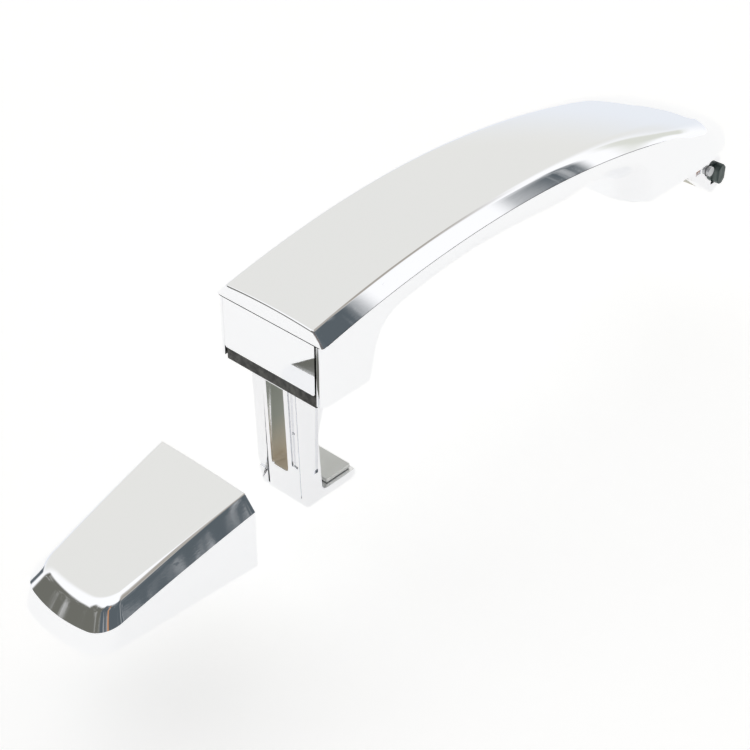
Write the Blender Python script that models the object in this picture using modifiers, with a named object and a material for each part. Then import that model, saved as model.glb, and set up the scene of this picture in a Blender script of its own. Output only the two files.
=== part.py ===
"""Chromed pull handle for a car door, with its rear pads and its separate end cap.

Frame: X runs along the handle from its rear end (X = 0) to the pivot end, Y across it and
Z outward from the door, whose skin is the plane Z = 0. The end cap lies loose, below and
behind its seat beside the rear end, and slides up to it.
"""
import math

import bmesh
import bpy
from mathutils import Matrix, Vector

MM = 0.001

# ---- driving dimensions -------------------------------------------------------------------
WIDTH = 36.0 * MM                     # across the handle and the cap
LENGTH = 189.0 * MM                   # rear end wall to the tip of the nose
CREASE_APEX = (69.0 * MM, 29.6 * MM)  # highest point (X, Z) of the edge between face and bevel
CREASE_RADIUS = 318.0 * MM            # the arch of the grip, seen from the side
BEVEL_WIDTH = (3.4 * MM, 5.4 * MM)    # sideways, at the rear and along the front half
BEVEL_DROP = (3.6 * MM, 2.0 * MM)     # downward, at the rear and along the front half
ROLL_START = 143.0 * MM               # from here the bevel widens and rounds into the nose's roll
ROLL_WIDTH = 10.0 * MM                # added to the bevel's width at the tip
ROLL_DROP = 2.4 * MM                  # added to its drop at the tip
WIDENING = (60.0 * MM, 170.0 * MM)    # the stretch over which the bevel gets wider
CROWN = 0.8 * MM                      # how far the outer face bulges at its middle
WALL = 2.2 * MM
GAP = 0.3 * MM                        # between pieces that touch
HOLLOW_END = 168.0 * MM               # X where the room inside the shells ends; the nose is solid
OVER = 1.0 * MM                       # how far a cutter reaches past a face that it opens
ABOVE = 40.0 * MM                     # a height above everything
RIM_Z = 1.1 * MM                      # lower edge of both feet, above the door skin

NOSE_START = 152.0 * MM               # where the plan outline starts to round in
NOSE_POWER = 3.0
REAR_FOOT = 18.8 * MM                 # length of the rear foot at its rim
FRONT_FOOT = 130.0 * MM               # X of the front foot's inner face at its rim
GRIP_DEPTH = (7.2 * MM, 9.6 * MM)     # seam to underside, at the rear and front of the grip
DEEPENING = (40.0 * MM, 110.0 * MM)   # the stretch over which that depth grows
GRIP_SPAN = (33.0 * MM, 113.0 * MM)   # the underside between its curves down into the feet
KNEE_Z = (9.5 * MM, 7.5 * MM)         # where those curves meet the inner walls of the feet
FOOT_LEAN = 2.0 * MM                  # how far those walls lean, from rim to knee
FOOT_CORNER = 7.0 * MM                # rounding of the front foot's inner corners, in plan
FINGER_EDGE = 4.5 * MM                # rounding of the edges that the fingers hold

PIVOT = Vector((188.4 * MM, 0.0, -14.0 * MM))   # the hinge axis runs along Y through here
CAP_LOOSE = Vector((-22.2 * MM, 1.0 * MM, -35.3 * MM))  # where the loose cap's frame lies

REAR_FLOOR = (3.6 * MM, 6.6 * MM)     # low and high face of the rear foot's floor
FRONT_FLOOR = (RIM_Z, 4.1 * MM)
COVER_SCREW_X = 9.0 * MM
COVER_SCREW_Y = 13.0 * MM
FRONT_SCREW_X = 143.0 * MM
ARM_SCREW_X = 151.5 * MM
REAR_LEDGE = 5.4 * MM                 # height of the ledge that each screw's head bears on
FRONT_LEDGE = 2.9 * MM
BOSS_RADIUS = 2.45 * MM               # the cover's screw bosses
REAR_BOSS_Z = 9.3 * MM                # their lower ends
FRONT_BOSS_Z = 6.0 * MM
BORE_DEPTH = 6.5 * MM
HEAD_RADIUS = 2.0 * MM
SHANK_RADIUS = 1.0 * MM
HOLE_RADIUS = 1.35 * MM
SINK_RADIUS = 2.35 * MM

REAR_SEAL_X = (0.3 * MM, 16.4 * MM)
REAR_SEAL_HEIGHT = 3.2 * MM
FRONT_SEAL_RING = (1.8 * MM, 4.4 * MM)  # insets of its outer and inner edge from the foot's rim
FRONT_SEAL_HEIGHT = 0.7 * MM

LEG_Y = 2.0 * MM                      # the leg stands a little off the centre line
LEG_WIDTH = 17.0 * MM
LEG_REAR = (2.7 * MM, 4.8 * MM)       # X of its rear face at the skin and at the bottom
LEG_DEPTH = (8.4 * MM, 6.2 * MM)      # along X, above and below its step
LEG_BOTTOM = -39.6 * MM
HOOK_TOP = -37.1 * MM
HOOK_END = 23.5 * MM
FLANGE_Z = (6.9 * MM, 8.9 * MM)       # the leg's flange inside the rear foot
SLOT_WIDTH = 6.0 * MM
SLOT_Z = (-30.0 * MM, -3.2 * MM)

ARM_HALF = 6.0 * MM
ARM_FOOT_Z = (4.4 * MM, 6.4 * MM)     # the plate foot of the pivot arm, inside the nose
PIN_RADIUS = 1.6 * MM
BUMPER_X = (191.6 * MM, 195.8 * MM)
BUMPER_Z = (-20.0 * MM, -13.3 * MM)
BUMPER_CHAMFER = 1.3 * MM

CAP_LENGTH = 48.6 * MM
CAP_TAIL_WIDTH = 30.0 * MM
CAP_BEVEL_DROP = 3.9 * MM
CAP_LEAN = 1.8 * MM                   # how far the tail wall leans in, from rim to bevel
CAP_TAIL_BEVEL = 6.2 * MM             # the crease's distance from the tail's rim
CAP_CORNER = 7.0 * MM                 # rounding of the tail's corners, in plan
CARRIER_X = (-33.5 * MM, -2.8 * MM)
CARRIER_HALF = 11.4 * MM
CARRIER_Z = (2.4 * MM, 10.0 * MM)
CARRIER_WALL = 1.6 * MM
CARRIER_DECK = 2.0 * MM
CAP_SCREW_X = -26.0 * MM
BOSS_LOW, BOSS_HIGH = 2.6 * MM, 9.0 * MM
INSERT_RADIUS = 2.6 * MM
CLIP_X = (-21.8 * MM, -16.2 * MM)
CLIP_Z = (3.9 * MM, 6.9 * MM)

HALF = WIDTH / 2


# ---- the handle's lines --------------------------------------------------------------------
def blend(pair, share):
    """A value between pair[0] and pair[1], eased in and out."""
    share = min(max(share, 0.0), 1.0)
    eased = share * share * (3.0 - 2.0 * share)
    return pair[0] + (pair[1] - pair[0]) * eased


def crease_z(x):
    """Height of the sharp edge between the outer face and the bevel: one circular arc."""
    run = x - CREASE_APEX[0]
    return CREASE_APEX[1] - CREASE_RADIUS + math.sqrt(CREASE_RADIUS ** 2 - run ** 2)


def roll_share(x):
    """0 where the bevel is flat, 1 at the tip, where it is the nose's round roll."""
    return blend((0.0, 1.0), (x - ROLL_START) / (LENGTH - ROLL_START))


def seam_z(x):
    """Height of the parting line, where the bevel ends and the backing begins."""
    drop = BEVEL_DROP[0] + (BEVEL_DROP[1] - BEVEL_DROP[0]) * x / LENGTH
    return crease_z(x) - drop - ROLL_DROP * roll_share(x)


def half_width(x):
    """Half the width in plan: straight, then a blunt superellipse round the nose."""
    reach = (x - NOSE_START) / (LENGTH - NOSE_START)
    if reach <= 0.0:
        return HALF
    return HALF * max(1.0 - reach ** NOSE_POWER, 0.0) ** (1.0 / NOSE_POWER)


def face_half_width(x):
    """Half the width of the outer face, between its two creases."""
    bevel = blend(BEVEL_WIDTH, (x - WIDENING[0]) / (WIDENING[1] - WIDENING[0]))
    return half_width(x) * (1.0 - (bevel + ROLL_WIDTH * roll_share(x)) / HALF)


def underside_z(x):
    """Height of the grip's underside, between the two feet."""
    share = (x - DEEPENING[0]) / (DEEPENING[1] - DEEPENING[0])
    return seam_z(x) - blend(GRIP_DEPTH, share)


def stations(low, high, count):
    return [low + (high - low) * i / (count - 1) for i in range(count)]


def nose_stations(low, high, count):
    """Stations that crowd together towards the tip, where the outline turns."""
    return [low + (high - low) * math.sin(0.5 * math.pi * i / (count - 1)) for i in range(count)]


def bend(start, corner, end, count=6):
    """Points on a smooth curve from start to end that leans towards corner."""
    points = []
    for i in range(count + 1):
        t = i / count
        points.append(tuple((1 - t) ** 2 * a + 2 * t * (1 - t) * b + t * t * c
                            for a, b, c in zip(start, corner, end)))
    return points


def arc(centre, radius, start_deg, end_deg, count=6):
    points = []
    for i in range(count + 1):
        angle = math.radians(start_deg + (end_deg - start_deg) * i / count)
        points.append((centre[0] + radius * math.cos(angle), centre[1] + radius * math.sin(angle)))
    return points


def plan_outline():
    """The handle seen from outside: rounded rear corners, straight sides, blunt nose."""
    corner = 2.0 * MM
    side = arc((corner, HALF - corner), corner, 180, 90, 4)
    side += [(x, half_width(x)) for x in nose_stations(NOSE_START, LENGTH, 14)]
    return side + [(x, -y) for x, y in reversed(side[:-1])]


def underside_path(inset=0.0):
    """(X, Z) from the rear foot's inner rim, under the grip, to the front foot's inner rim."""
    rear, front = REAR_FOOT - inset, FRONT_FOOT + inset
    rear_knee = (rear + FOOT_LEAN, KNEE_Z[0])
    front_knee = (front - FOOT_LEAN, KNEE_Z[1])
    grip = [(x, underside_z(x) + inset) for x in stations(*GRIP_SPAN, 13)]
    path = [(rear, RIM_Z)]
    path += bend(rear_knee, (rear + 3.5 * MM, grip[0][1] - 0.6 * MM), grip[0])
    path += grip[1:-1]
    path += bend(grip[-1], (front - 4.5 * MM, grip[-1][1] - 2.5 * MM), front_knee)
    return path + [(front, RIM_Z)]


# ---- tools ---------------------------------------------------------------------------------
def clear_scene():
    for thing in list(bpy.data.objects):
        bpy.data.objects.remove(thing, do_unlink=True)


def make_collection(name):
    collection = bpy.data.collections.new(name)
    bpy.context.scene.collection.children.link(collection)
    return collection


def make_material(name, colour, roughness, metallic):
    material = bpy.data.materials.new(name)
    material.use_nodes = True
    shader = material.node_tree.nodes["Principled BSDF"]
    shader.inputs["Base Color"].default_value = (*colour, 1.0)
    shader.inputs["Roughness"].default_value = roughness
    shader.inputs["Metallic"].default_value = metallic
    return material


def link_only(thing, collection):
    for owner in list(thing.users_collection):
        owner.objects.unlink(thing)
    collection.objects.link(thing)
    return thing


def mesh_object(name, points, faces, collection):
    mesh = bpy.data.meshes.new(name)
    mesh.from_pydata([tuple(p) for p in points], [], faces)
    solid = bmesh.new()
    solid.from_mesh(mesh)
    bmesh.ops.recalc_face_normals(solid, faces=solid.faces)
    solid.to_mesh(mesh)
    solid.free()
    thing = bpy.data.objects.new(name, mesh)
    collection.objects.link(thing)
    return thing


def loft(name, rings, collection):
    """A closed solid through rings of equal point count, with a flat face at each end."""
    count = len(rings[0])
    points = [point for ring in rings for point in ring]
    faces = [tuple(range(count)), tuple(range(len(points) - count, len(points)))]
    for row in range(len(rings) - 1):
        for i in range(count):
            j = (i + 1) % count
            low, high = row * count, (row + 1) * count
            faces.append((low + i, low + j, high + j, high + i))
    return mesh_object(name, points, faces, collection)


def prism(name, outlines, plane, low, high, collection):
    """Flat outlines filled and extruded: plane XY rises along Z, plane XZ runs along Y."""
    curve = bpy.data.curves.new(name, "CURVE")
    curve.dimensions = "2D"
    curve.fill_mode = "BOTH"
    curve.extrude = (high - low) / 2
    for outline in outlines:
        spline = curve.splines.new("POLY")
        spline.points.add(len(outline) - 1)
        spline.use_cyclic_u = True
        for point, (u, v) in zip(spline.points, outline):
            point.co = (u, v, 0.0, 1.0)
    guide = bpy.data.objects.new(name, curve)
    bpy.context.scene.collection.objects.link(guide)
    if plane == "XZ":
        guide.rotation_euler = (math.pi / 2, 0.0, 0.0)
        guide.location = (0.0, (low + high) / 2, 0.0)
    elif plane == "YZ":
        guide.rotation_euler = (math.pi / 2, 0.0, math.pi / 2)
        guide.location = ((low + high) / 2, 0.0, 0.0)
    else:
        guide.location = (0.0, 0.0, (low + high) / 2)
    bpy.context.view_layer.update()
    evaluated = guide.evaluated_get(bpy.context.evaluated_depsgraph_get())
    mesh = bpy.data.meshes.new_from_object(evaluated)
    mesh.transform(guide.matrix_world)
    bpy.data.objects.remove(guide, do_unlink=True)
    solid = bmesh.new()
    solid.from_mesh(mesh)
    bmesh.ops.remove_doubles(solid, verts=solid.verts, dist=0.00001)
    bmesh.ops.recalc_face_normals(solid, faces=solid.faces)
    solid.to_mesh(mesh)
    solid.free()
    mesh.materials.clear()
    thing = bpy.data.objects.new(name, mesh)
    collection.objects.link(thing)
    return thing


def box(name, low, high, collection):
    bpy.ops.mesh.primitive_cube_add(size=1.0)
    thing = bpy.context.object
    thing.name = name
    size = [b - a for a, b in zip(low, high)]
    centre = [(a + b) / 2 for a, b in zip(low, high)]
    thing.data.transform(Matrix.Translation(centre) @ Matrix.Diagonal((*size, 1.0)))
    return link_only(thing, collection)


def rod(name, radius, start, end, collection, sides=20):
    """A cylinder from start to end."""
    start, end = Vector(start), Vector(end)
    along = end - start
    bpy.ops.mesh.primitive_cylinder_add(vertices=sides, radius=radius, depth=along.length)
    thing = bpy.context.object
    thing.name = name
    turn = along.to_track_quat("Z", "Y").to_matrix().to_4x4()
    thing.data.transform(Matrix.Translation((start + end) / 2) @ turn)
    return link_only(thing, collection)


def combine(thing, other, operation):
    """Join, cut or intersect one solid with another, which becomes a hidden cutter."""
    step = thing.modifiers.new(operation.lower(), "BOOLEAN")
    step.operation = operation
    step.solver = "EXACT"
    step.object = other
    other.hide_render = True
    other.display_type = "WIRE"
    return thing


def cut(thing, *others):
    for other in others:
        combine(thing, other, "DIFFERENCE")
    return thing


def join(thing, *others):
    for other in others:
        combine(thing, other, "UNION")
    return thing


def round_edges(thing, width, segments, chosen):
    """Bevel the edges that the function chosen(start, end) picks."""
    solid = bmesh.new()
    solid.from_mesh(thing.data)
    weight = solid.edges.layers.float.new("bevel_weight_edge")
    for edge in solid.edges:
        start, end = (vert.co for vert in edge.verts)
        edge[weight] = 1.0 if chosen(start, end) else 0.0
    solid.to_mesh(thing.data)
    solid.free()
    bevel = thing.modifiers.new("rounding", "BEVEL")
    bevel.limit_method = "WEIGHT"
    bevel.width = width
    bevel.segments = segments
    return thing


def hang(thing, parent, keep_world):
    """Parent a part to its joint's empty, and with it every solid that cuts or joins it."""
    thing.parent = parent
    if keep_world:
        thing.matrix_parent_inverse = Matrix.Translation(-parent.location)
    for step in thing.modifiers:
        if step.type == "BOOLEAN":
            hang(step.object, parent, keep_world)


def finish(thing, material, parent=None, keep_world=True):
    """Give a part its material and, if it moves, its joint's empty."""
    thing.data.materials.clear()
    thing.data.materials.append(material)
    if parent is not None:
        hang(thing, parent, keep_world)
    return thing


def joint_empty(name, location, collection):
    empty = bpy.data.objects.new(name, None)
    empty.location = location
    empty.empty_display_size = 0.01
    collection.objects.link(empty)
    return empty


# ---- the handle's shells ---------------------------------------------------------------------
def cover_ring(x, inset=0.0):
    """The cover's section at x: crowned face, two bevels, and straight across at the seam."""
    face = max(face_half_width(x) - 0.5 * inset, 0.2 * MM)
    side = max(half_width(x) - 1.1 * inset, 0.4 * MM)
    top, seam = crease_z(x) - inset, seam_z(x)
    if inset:
        seam -= 1.0 * MM
    crown = CROWN * face / HALF
    bevel = []
    for share in (0.0, 0.35, 0.7):
        bow = min(2.0 * roll_share(x), 1.0) * 0.6 * share * (1.0 - share)
        bevel.append((side + (face - side) * (share - bow), seam + (top - seam) * (share + bow)))
    ring = [(x, y, z) for y, z in bevel]
    for share in (1.0, 0.66, 0.33, 0.0, -0.33, -0.66, -1.0):
        ring.append((x, face * share, top + crown * (1.0 - share * share)))
    return ring + [(x, -y, z) for y, z in bevel[::-1]]


def build_outer_cover(material, parts, cutters, hinge):
    rings = [cover_ring(x) for x in stations(0.0, NOSE_START, 20)]
    rings += [cover_ring(x) for x in nose_stations(NOSE_START, LENGTH - 0.05 * MM, 12)[1:]]
    cover = loft("outer_cover", rings, parts)
    hollow = [cover_ring(x, WALL) for x in stations(WALL, HOLLOW_END, 20)]
    cut(cover, loft("cover_hollow", hollow, cutters))

    wall_half = HALF - WALL - GAP
    low, high = REAR_FLOOR[0], seam_z(0.0) + 0.5 * MM
    join(cover, box("end_wall", (0.0, -wall_half, low), (WALL, wall_half, high), cutters))
    bosses = ((COVER_SCREW_X, COVER_SCREW_Y, REAR_BOSS_Z), (COVER_SCREW_X, -COVER_SCREW_Y, REAR_BOSS_Z),
              (FRONT_SCREW_X, 0.0, FRONT_BOSS_Z))
    for x, y, z in bosses:
        top = crease_z(x) - 0.5 * WALL
        join(cover, rod("boss", BOSS_RADIUS, (x, y, z), (x, y, top), cutters))
        cut(cover, rod("boss_bore", HOLE_RADIUS, (x, y, z - OVER), (x, y, z + BORE_DEPTH), cutters, 12))
    return finish(cover, material, hinge)


def build_grip_backing(material, parts, cutters, hinge):
    top = [(x, seam_z(x) - GAP) for x in stations(0.0, LENGTH, 24)]
    side = [(0.0, RIM_Z)] + underside_path() + [(LENGTH, RIM_Z)] + top[::-1]
    backing = prism("grip_backing", [side], "XZ", -HALF, HALF, parts)

    def on_finger_edge(start, end):
        for point in (start, end):
            inside = REAR_FOOT - 0.1 * MM < point.x < FRONT_FOOT + 0.1 * MM
            low = point.z < underside_z(point.x) + 2.0 * MM
            if not (inside and low and abs(point.y) > HALF - 0.1 * MM):
                return False
        return start.y * end.y > 0

    round_edges(backing, FINGER_EDGE, 3, on_finger_edge)
    plan = prism("plan", [plan_outline()], "XY", -OVER, ABOVE, cutters)
    combine(backing, plan, "INTERSECT")

    wall_y = HALF - WALL
    inner = [(-OVER, REAR_FLOOR[1]), (REAR_FOOT - WALL, REAR_FLOOR[1])]
    inner += underside_path(WALL)[1:-1]
    inner += [(FRONT_FOOT + WALL, FRONT_FLOOR[1]), (HOLLOW_END, FRONT_FLOOR[1]), (HOLLOW_END, ABOVE),
              (-OVER, ABOVE)]
    cut(backing,
        prism("backing_hollow", [inner], "XZ", -wall_y, wall_y, cutters),
        box("seal_recess", (-OVER, -wall_y, -OVER), (16.8 * MM, wall_y, REAR_FLOOR[0]), cutters),
        box("end_wall_room", (-OVER, -wall_y, REAR_FLOOR[0] - OVER),
            (WALL + GAP, wall_y, REAR_FLOOR[1] + OVER), cutters),
        box("leg_room", (-OVER, LEG_Y - LEG_WIDTH / 2 - 0.5 * MM, 0.0),
            (12.0 * MM, LEG_Y + LEG_WIDTH / 2 + 0.5 * MM, REAR_FLOOR[1] + OVER), cutters),
        box("arm_room", (157.4 * MM, -ARM_HALF - 0.6 * MM, -OVER),
            (172.6 * MM, ARM_HALF + 0.6 * MM, ARM_FOOT_Z[1] + GAP), cutters))
    screws = ((COVER_SCREW_X, COVER_SCREW_Y, REAR_LEDGE), (COVER_SCREW_X, -COVER_SCREW_Y, REAR_LEDGE),
              (FRONT_SCREW_X, 0.0, FRONT_LEDGE), (ARM_SCREW_X, 0.0, FRONT_LEDGE))
    for x, y, ledge in screws:
        cut(backing, rod("screw_hole", HOLE_RADIUS, (x, y, 0.0), (x, y, REAR_FLOOR[1] + OVER), cutters, 12),
            rod("counterbore", SINK_RADIUS, (x, y, 0.0), (x, y, ledge), cutters, 16))
    return finish(backing, material, hinge)


def build_grip_stiffener(material, parts, hinge):
    """An arched bar between the cover and the backing, from foot to foot."""
    rings = []
    for x in stations(15.0 * MM, 136.0 * MM, 14):
        middle = crease_z(x) - 5.1 * MM
        rings.append([(x, y, middle + z) for y, z in
                      ((9 * MM, -1.6 * MM), (9 * MM, 1.6 * MM), (-9 * MM, 1.6 * MM), (-9 * MM, -1.6 * MM))])
    return finish(loft("grip_stiffener", rings, parts), material, hinge)


# ---- latch leg, pivot arm ---------------------------------------------------------------------
def leg_rear_x(z):
    return LEG_REAR[0] + (LEG_REAR[1] - LEG_REAR[0]) * min(max(z / LEG_BOTTOM, 0.0), 1.0)


def build_latch_leg(material, parts, cutters, hinge):
    step_z = (-12.0 * MM, -17.5 * MM)
    side = [(LEG_REAR[0], FLANGE_Z[1]), (leg_rear_x(LEG_BOTTOM), LEG_BOTTOM + 1.0 * MM),
            (LEG_REAR[1] + 1.0 * MM, LEG_BOTTOM), (HOOK_END, LEG_BOTTOM), (HOOK_END, HOOK_TOP),
            (LEG_REAR[1] + LEG_DEPTH[1] + 1.5 * MM, HOOK_TOP),
            (LEG_REAR[1] + LEG_DEPTH[1], HOOK_TOP + 1.5 * MM),
            (leg_rear_x(step_z[1]) + LEG_DEPTH[1], step_z[1]),
            (leg_rear_x(step_z[0]) + LEG_DEPTH[0], step_z[0]),
            (LEG_REAR[0] + LEG_DEPTH[0], 0.0), (LEG_REAR[0] + LEG_DEPTH[0], FLANGE_Z[1])]
    low_y, high_y = LEG_Y - LEG_WIDTH / 2, LEG_Y + LEG_WIDTH / 2
    leg = prism("latch_leg", [side], "XZ", low_y, high_y, parts)
    join(leg, box("leg_flange", (LEG_REAR[0], -15.2 * MM, FLANGE_Z[0]), (14.0 * MM, 15.2 * MM, FLANGE_Z[1]),
                  cutters))
    slot_y = (LEG_Y - SLOT_WIDTH / 2, LEG_Y + SLOT_WIDTH / 2)
    chamfer = [(high_y - 2.2 * MM, LEG_BOTTOM - OVER), (high_y + OVER, LEG_BOTTOM - OVER),
               (high_y + OVER, -31.0 * MM), (high_y, -31.0 * MM)]
    cut(leg, box("leg_slot", (-OVER, slot_y[0], SLOT_Z[0]), (HOOK_END, slot_y[1], SLOT_Z[1]), cutters),
        prism("leg_chamfer", [chamfer], "YZ", -OVER, HOOK_END + OVER, cutters))
    for y in (COVER_SCREW_Y, -COVER_SCREW_Y):
        cut(leg, rod("flange_hole", HOLE_RADIUS, (COVER_SCREW_X, y, FLANGE_Z[0] - OVER),
                     (COVER_SCREW_X, y, FLANGE_Z[1] + OVER), cutters, 12))
    return finish(leg, material, hinge)


def build_hook_liner(material, parts, hinge):
    low = (14.0 * MM, LEG_Y - LEG_WIDTH / 2 + 1.2 * MM, HOOK_TOP + GAP)
    high = (HOOK_END - 0.8 * MM, LEG_Y + LEG_WIDTH / 2 - 3.4 * MM, HOOK_TOP + GAP + 1.2 * MM)
    return finish(box("hook_liner", low, high, parts), material, hinge)


def build_pivot_arm(material, parts, cutters, hinge):
    """A plate foot inside the nose and a hooked arm that reaches forward under the skin."""
    low, high = ARM_FOOT_Z
    side = [(158.0 * MM, high), (158.0 * MM, -3.5 * MM), (176.5 * MM, -12.0 * MM),
            (190.6 * MM, -22.4 * MM), (193.0 * MM, -23.4 * MM), (195.2 * MM, -22.0 * MM),
            (195.2 * MM, -12.0 * MM), (191.0 * MM, -9.4 * MM), (184.0 * MM, -6.0 * MM),
            (174.5 * MM, -3.2 * MM), (172.0 * MM, -1.0 * MM), (172.0 * MM, high)]
    arm = prism("pivot_arm", [side], "XZ", -ARM_HALF, ARM_HALF, parts)
    join(arm, box("arm_foot", (147.0 * MM, -9.0 * MM, low), (167.6 * MM, 9.0 * MM, high), cutters))
    cut(arm,
        rod("pin_bore", PIN_RADIUS + GAP, (PIVOT.x, -HALF, PIVOT.z), (PIVOT.x, HALF, PIVOT.z), cutters, 24),
        rod("arm_hole", HOLE_RADIUS, (ARM_SCREW_X, 0.0, low - OVER), (ARM_SCREW_X, 0.0, high + OVER),
            cutters, 12),
        box("bumper_notch", (BUMPER_X[0] - GAP, -HALF, BUMPER_Z[0] - GAP),
            (BUMPER_X[1] + OVER, HALF, BUMPER_Z[1] + GAP), cutters))
    return finish(arm, material, hinge)


def build_pivot_pin(material, parts, hinge):
    reach = 7.2 * MM
    pin = rod("pivot_pin", PIN_RADIUS, (PIVOT.x, -reach, PIVOT.z), (PIVOT.x, reach, PIVOT.z), parts, 24)
    return finish(pin, material, hinge)


def build_pivot_bumper(material, parts, hinge):
    """A rubber block across the arm's end, with its corners cut off."""
    (x0, x1), (z0, z1), c = BUMPER_X, BUMPER_Z, BUMPER_CHAMFER
    outline = [(x0, z0 + c), (x0 + c, z0), (x1 - c, z0), (x1, z0 + c),
               (x1, z1 - c), (x1 - c, z1), (x0 + c, z1), (x0, z1 - c)]
    return finish(prism("pivot_bumper", [outline], "XZ", -8.2 * MM, 8.2 * MM, parts), material, hinge)


def build_screw(name, x, y, head_low, tip, material, parts, cutters, parent):
    """A pan-head screw that stands upright, its head below and a hexagon recess in it."""
    head_high = head_low + 1.6 * MM
    screw = rod(name, HEAD_RADIUS, (x, y, head_low), (x, y, head_high), parts, 20)
    shank = rod(name + "_shank", SHANK_RADIUS, (x, y, head_high - 0.2 * MM), (x, y, tip), cutters, 16)
    recess = rod(name + "_recess", 1.1 * MM, (x, y, head_low - 0.5 * MM), (x, y, head_low + 0.9 * MM),
                 cutters, 6)
    join(screw, shank)
    cut(screw, recess)
    return finish(screw, material, parent)


# ---- pads on the door ---------------------------------------------------------------------------
def build_rear_seal(material, parts, cutters):
    half = HALF - WALL - 0.4 * MM
    seal = box("rear_seal", (REAR_SEAL_X[0], -half, 0.0), (REAR_SEAL_X[1], half, REAR_SEAL_HEIGHT), parts)
    clear = 1.6 * MM
    cut(seal, box("seal_window", (REAR_SEAL_X[0] + 1.0 * MM, LEG_Y - LEG_WIDTH / 2 - clear, -OVER),
                  (REAR_SEAL_X[1] - 2.2 * MM, LEG_Y + LEG_WIDTH / 2 + clear, REAR_SEAL_HEIGHT + OVER),
                  cutters))
    return finish(seal, material)


def foot_ring(inset):
    """Plan outline of the front foot's rim, inset all round."""
    inner, corner = FRONT_FOOT + inset, FOOT_CORNER - inset
    wide = HALF - inset
    side = [(inner, 0.0)] + arc((inner + corner, wide - corner), corner, 180, 90, 5)
    for x in nose_stations(NOSE_START, LENGTH, 14):
        share = (x - NOSE_START) / (LENGTH - NOSE_START)
        side.append((x - inset * share, max(half_width(x) - inset, 0.0)))
    return side + [(x, -y) for x, y in reversed(side[1:-1])]


def build_front_seal(material, parts):
    rings = [foot_ring(inset) for inset in FRONT_SEAL_RING]
    return finish(prism("front_seal", rings, "XY", 0.0, FRONT_SEAL_HEIGHT, parts), material)


# ---- end cap, in its own frame: X = 0 is the side that faces the handle --------------------------
def cap_top_z(x):
    """The cap's outer face falls away from the handle; x is negative."""
    return crease_z(0.0) + 0.215 * x - 0.9 * x * x


def cap_outline(tail, side_inset, height, count=6):
    """One closed ring round the cap, with height(x) giving Z."""
    wide = HALF - side_inset
    narrow = CAP_TAIL_WIDTH / 2 - side_inset
    turn = CAP_CORNER - tail
    side = [(share * turn, wide + (narrow - wide) * share) for share in (0.0, 0.33, 0.66, 1.0)]
    side += arc((turn, narrow - CAP_CORNER), CAP_CORNER, 90, 180, count)[1:]
    plan = side + [(x, -y) for x, y in reversed(side)]
    return [(x, y, height(x)) for x, y in plan]


def build_cap_shell(material, parts, cutters, slide):
    """Three rings, at the rim, below the bevel and at the crease, and the same further in."""
    leaned, creased = CAP_LENGTH - CAP_LEAN, CAP_LENGTH - CAP_TAIL_BEVEL
    shell = loft("cap_shell", [
        cap_outline(CAP_LENGTH, 0.0, lambda x: RIM_Z),
        cap_outline(leaned, 0.0, lambda x: cap_top_z(x) - CAP_BEVEL_DROP),
        cap_outline(creased, BEVEL_WIDTH[0], cap_top_z)], parts)
    hollow = loft("cap_hollow", [
        cap_outline(CAP_LENGTH - WALL, WALL, lambda x: -OVER),
        cap_outline(leaned - WALL, WALL, lambda x: cap_top_z(x) - CAP_BEVEL_DROP - 0.6 * WALL),
        cap_outline(creased - WALL, BEVEL_WIDTH[0] + 0.6 * WALL, lambda x: cap_top_z(x) - WALL)],
        cutters)
    front_wall = box("cap_front_wall", (-WALL, -WIDTH, -2 * OVER), (OVER, WIDTH, ABOVE), cutters)
    cut(hollow, front_wall)
    cut(shell, hollow)
    return finish(shell, material, slide, keep_world=False)


def build_cap_carrier(material, parts, cutters, slide):
    """A plastic frame under the shell: a deck with a skirt and a boss for the insert."""
    (rear, front), (low, high), half = CARRIER_X, CARRIER_Z, CARRIER_HALF
    carrier = box("cap_carrier", (rear, -half, low), (front, half, high), parts)
    cut(carrier, box("carrier_room", (rear + CARRIER_WALL, CARRIER_WALL - half, -OVER),
                     (front - CARRIER_WALL, half - CARRIER_WALL, high - CARRIER_DECK), cutters))
    join(carrier, rod("carrier_boss", 4.0 * MM, (CAP_SCREW_X, 0.0, BOSS_LOW),
                      (CAP_SCREW_X, 0.0, BOSS_HIGH), cutters, 24))
    cut(carrier, rod("insert_seat", INSERT_RADIUS + GAP, (CAP_SCREW_X, 0.0, 0.0),
                     (CAP_SCREW_X, 0.0, BOSS_HIGH - 0.4 * MM), cutters, 24))
    for side in (1, -1):
        near, far = sorted((side * (half - 2.0 * MM), side * (half + 0.6 * MM)))
        cut(carrier, box("clip_room", (CLIP_X[0] - 0.6 * MM, near, CLIP_Z[0] - 0.5 * MM),
                         (CLIP_X[1] + 0.6 * MM, far, CLIP_Z[1] + 0.5 * MM), cutters))
    return finish(carrier, material, slide, keep_world=False)


def build_cap_insert(material, parts, cutters, slide):
    """The threaded sleeve in the boss."""
    low, high = BOSS_LOW + 0.4 * MM, BOSS_HIGH - 0.8 * MM
    insert = rod("cap_insert", INSERT_RADIUS, (CAP_SCREW_X, 0.0, low), (CAP_SCREW_X, 0.0, high), parts, 24)
    cut(insert, rod("insert_bore", HOLE_RADIUS, (CAP_SCREW_X, 0.0, 0.0), (CAP_SCREW_X, 0.0, high - 0.6 * MM),
                    cutters, 16))
    return finish(insert, material, slide, keep_world=False)


def build_cap_screw(material, parts, cutters, slide):
    screw = build_screw("cap_screw", CAP_SCREW_X, 0.0, 0.9 * MM, 7.0 * MM, material, parts, cutters, None)
    return finish(screw, material, slide, keep_world=False)


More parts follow.
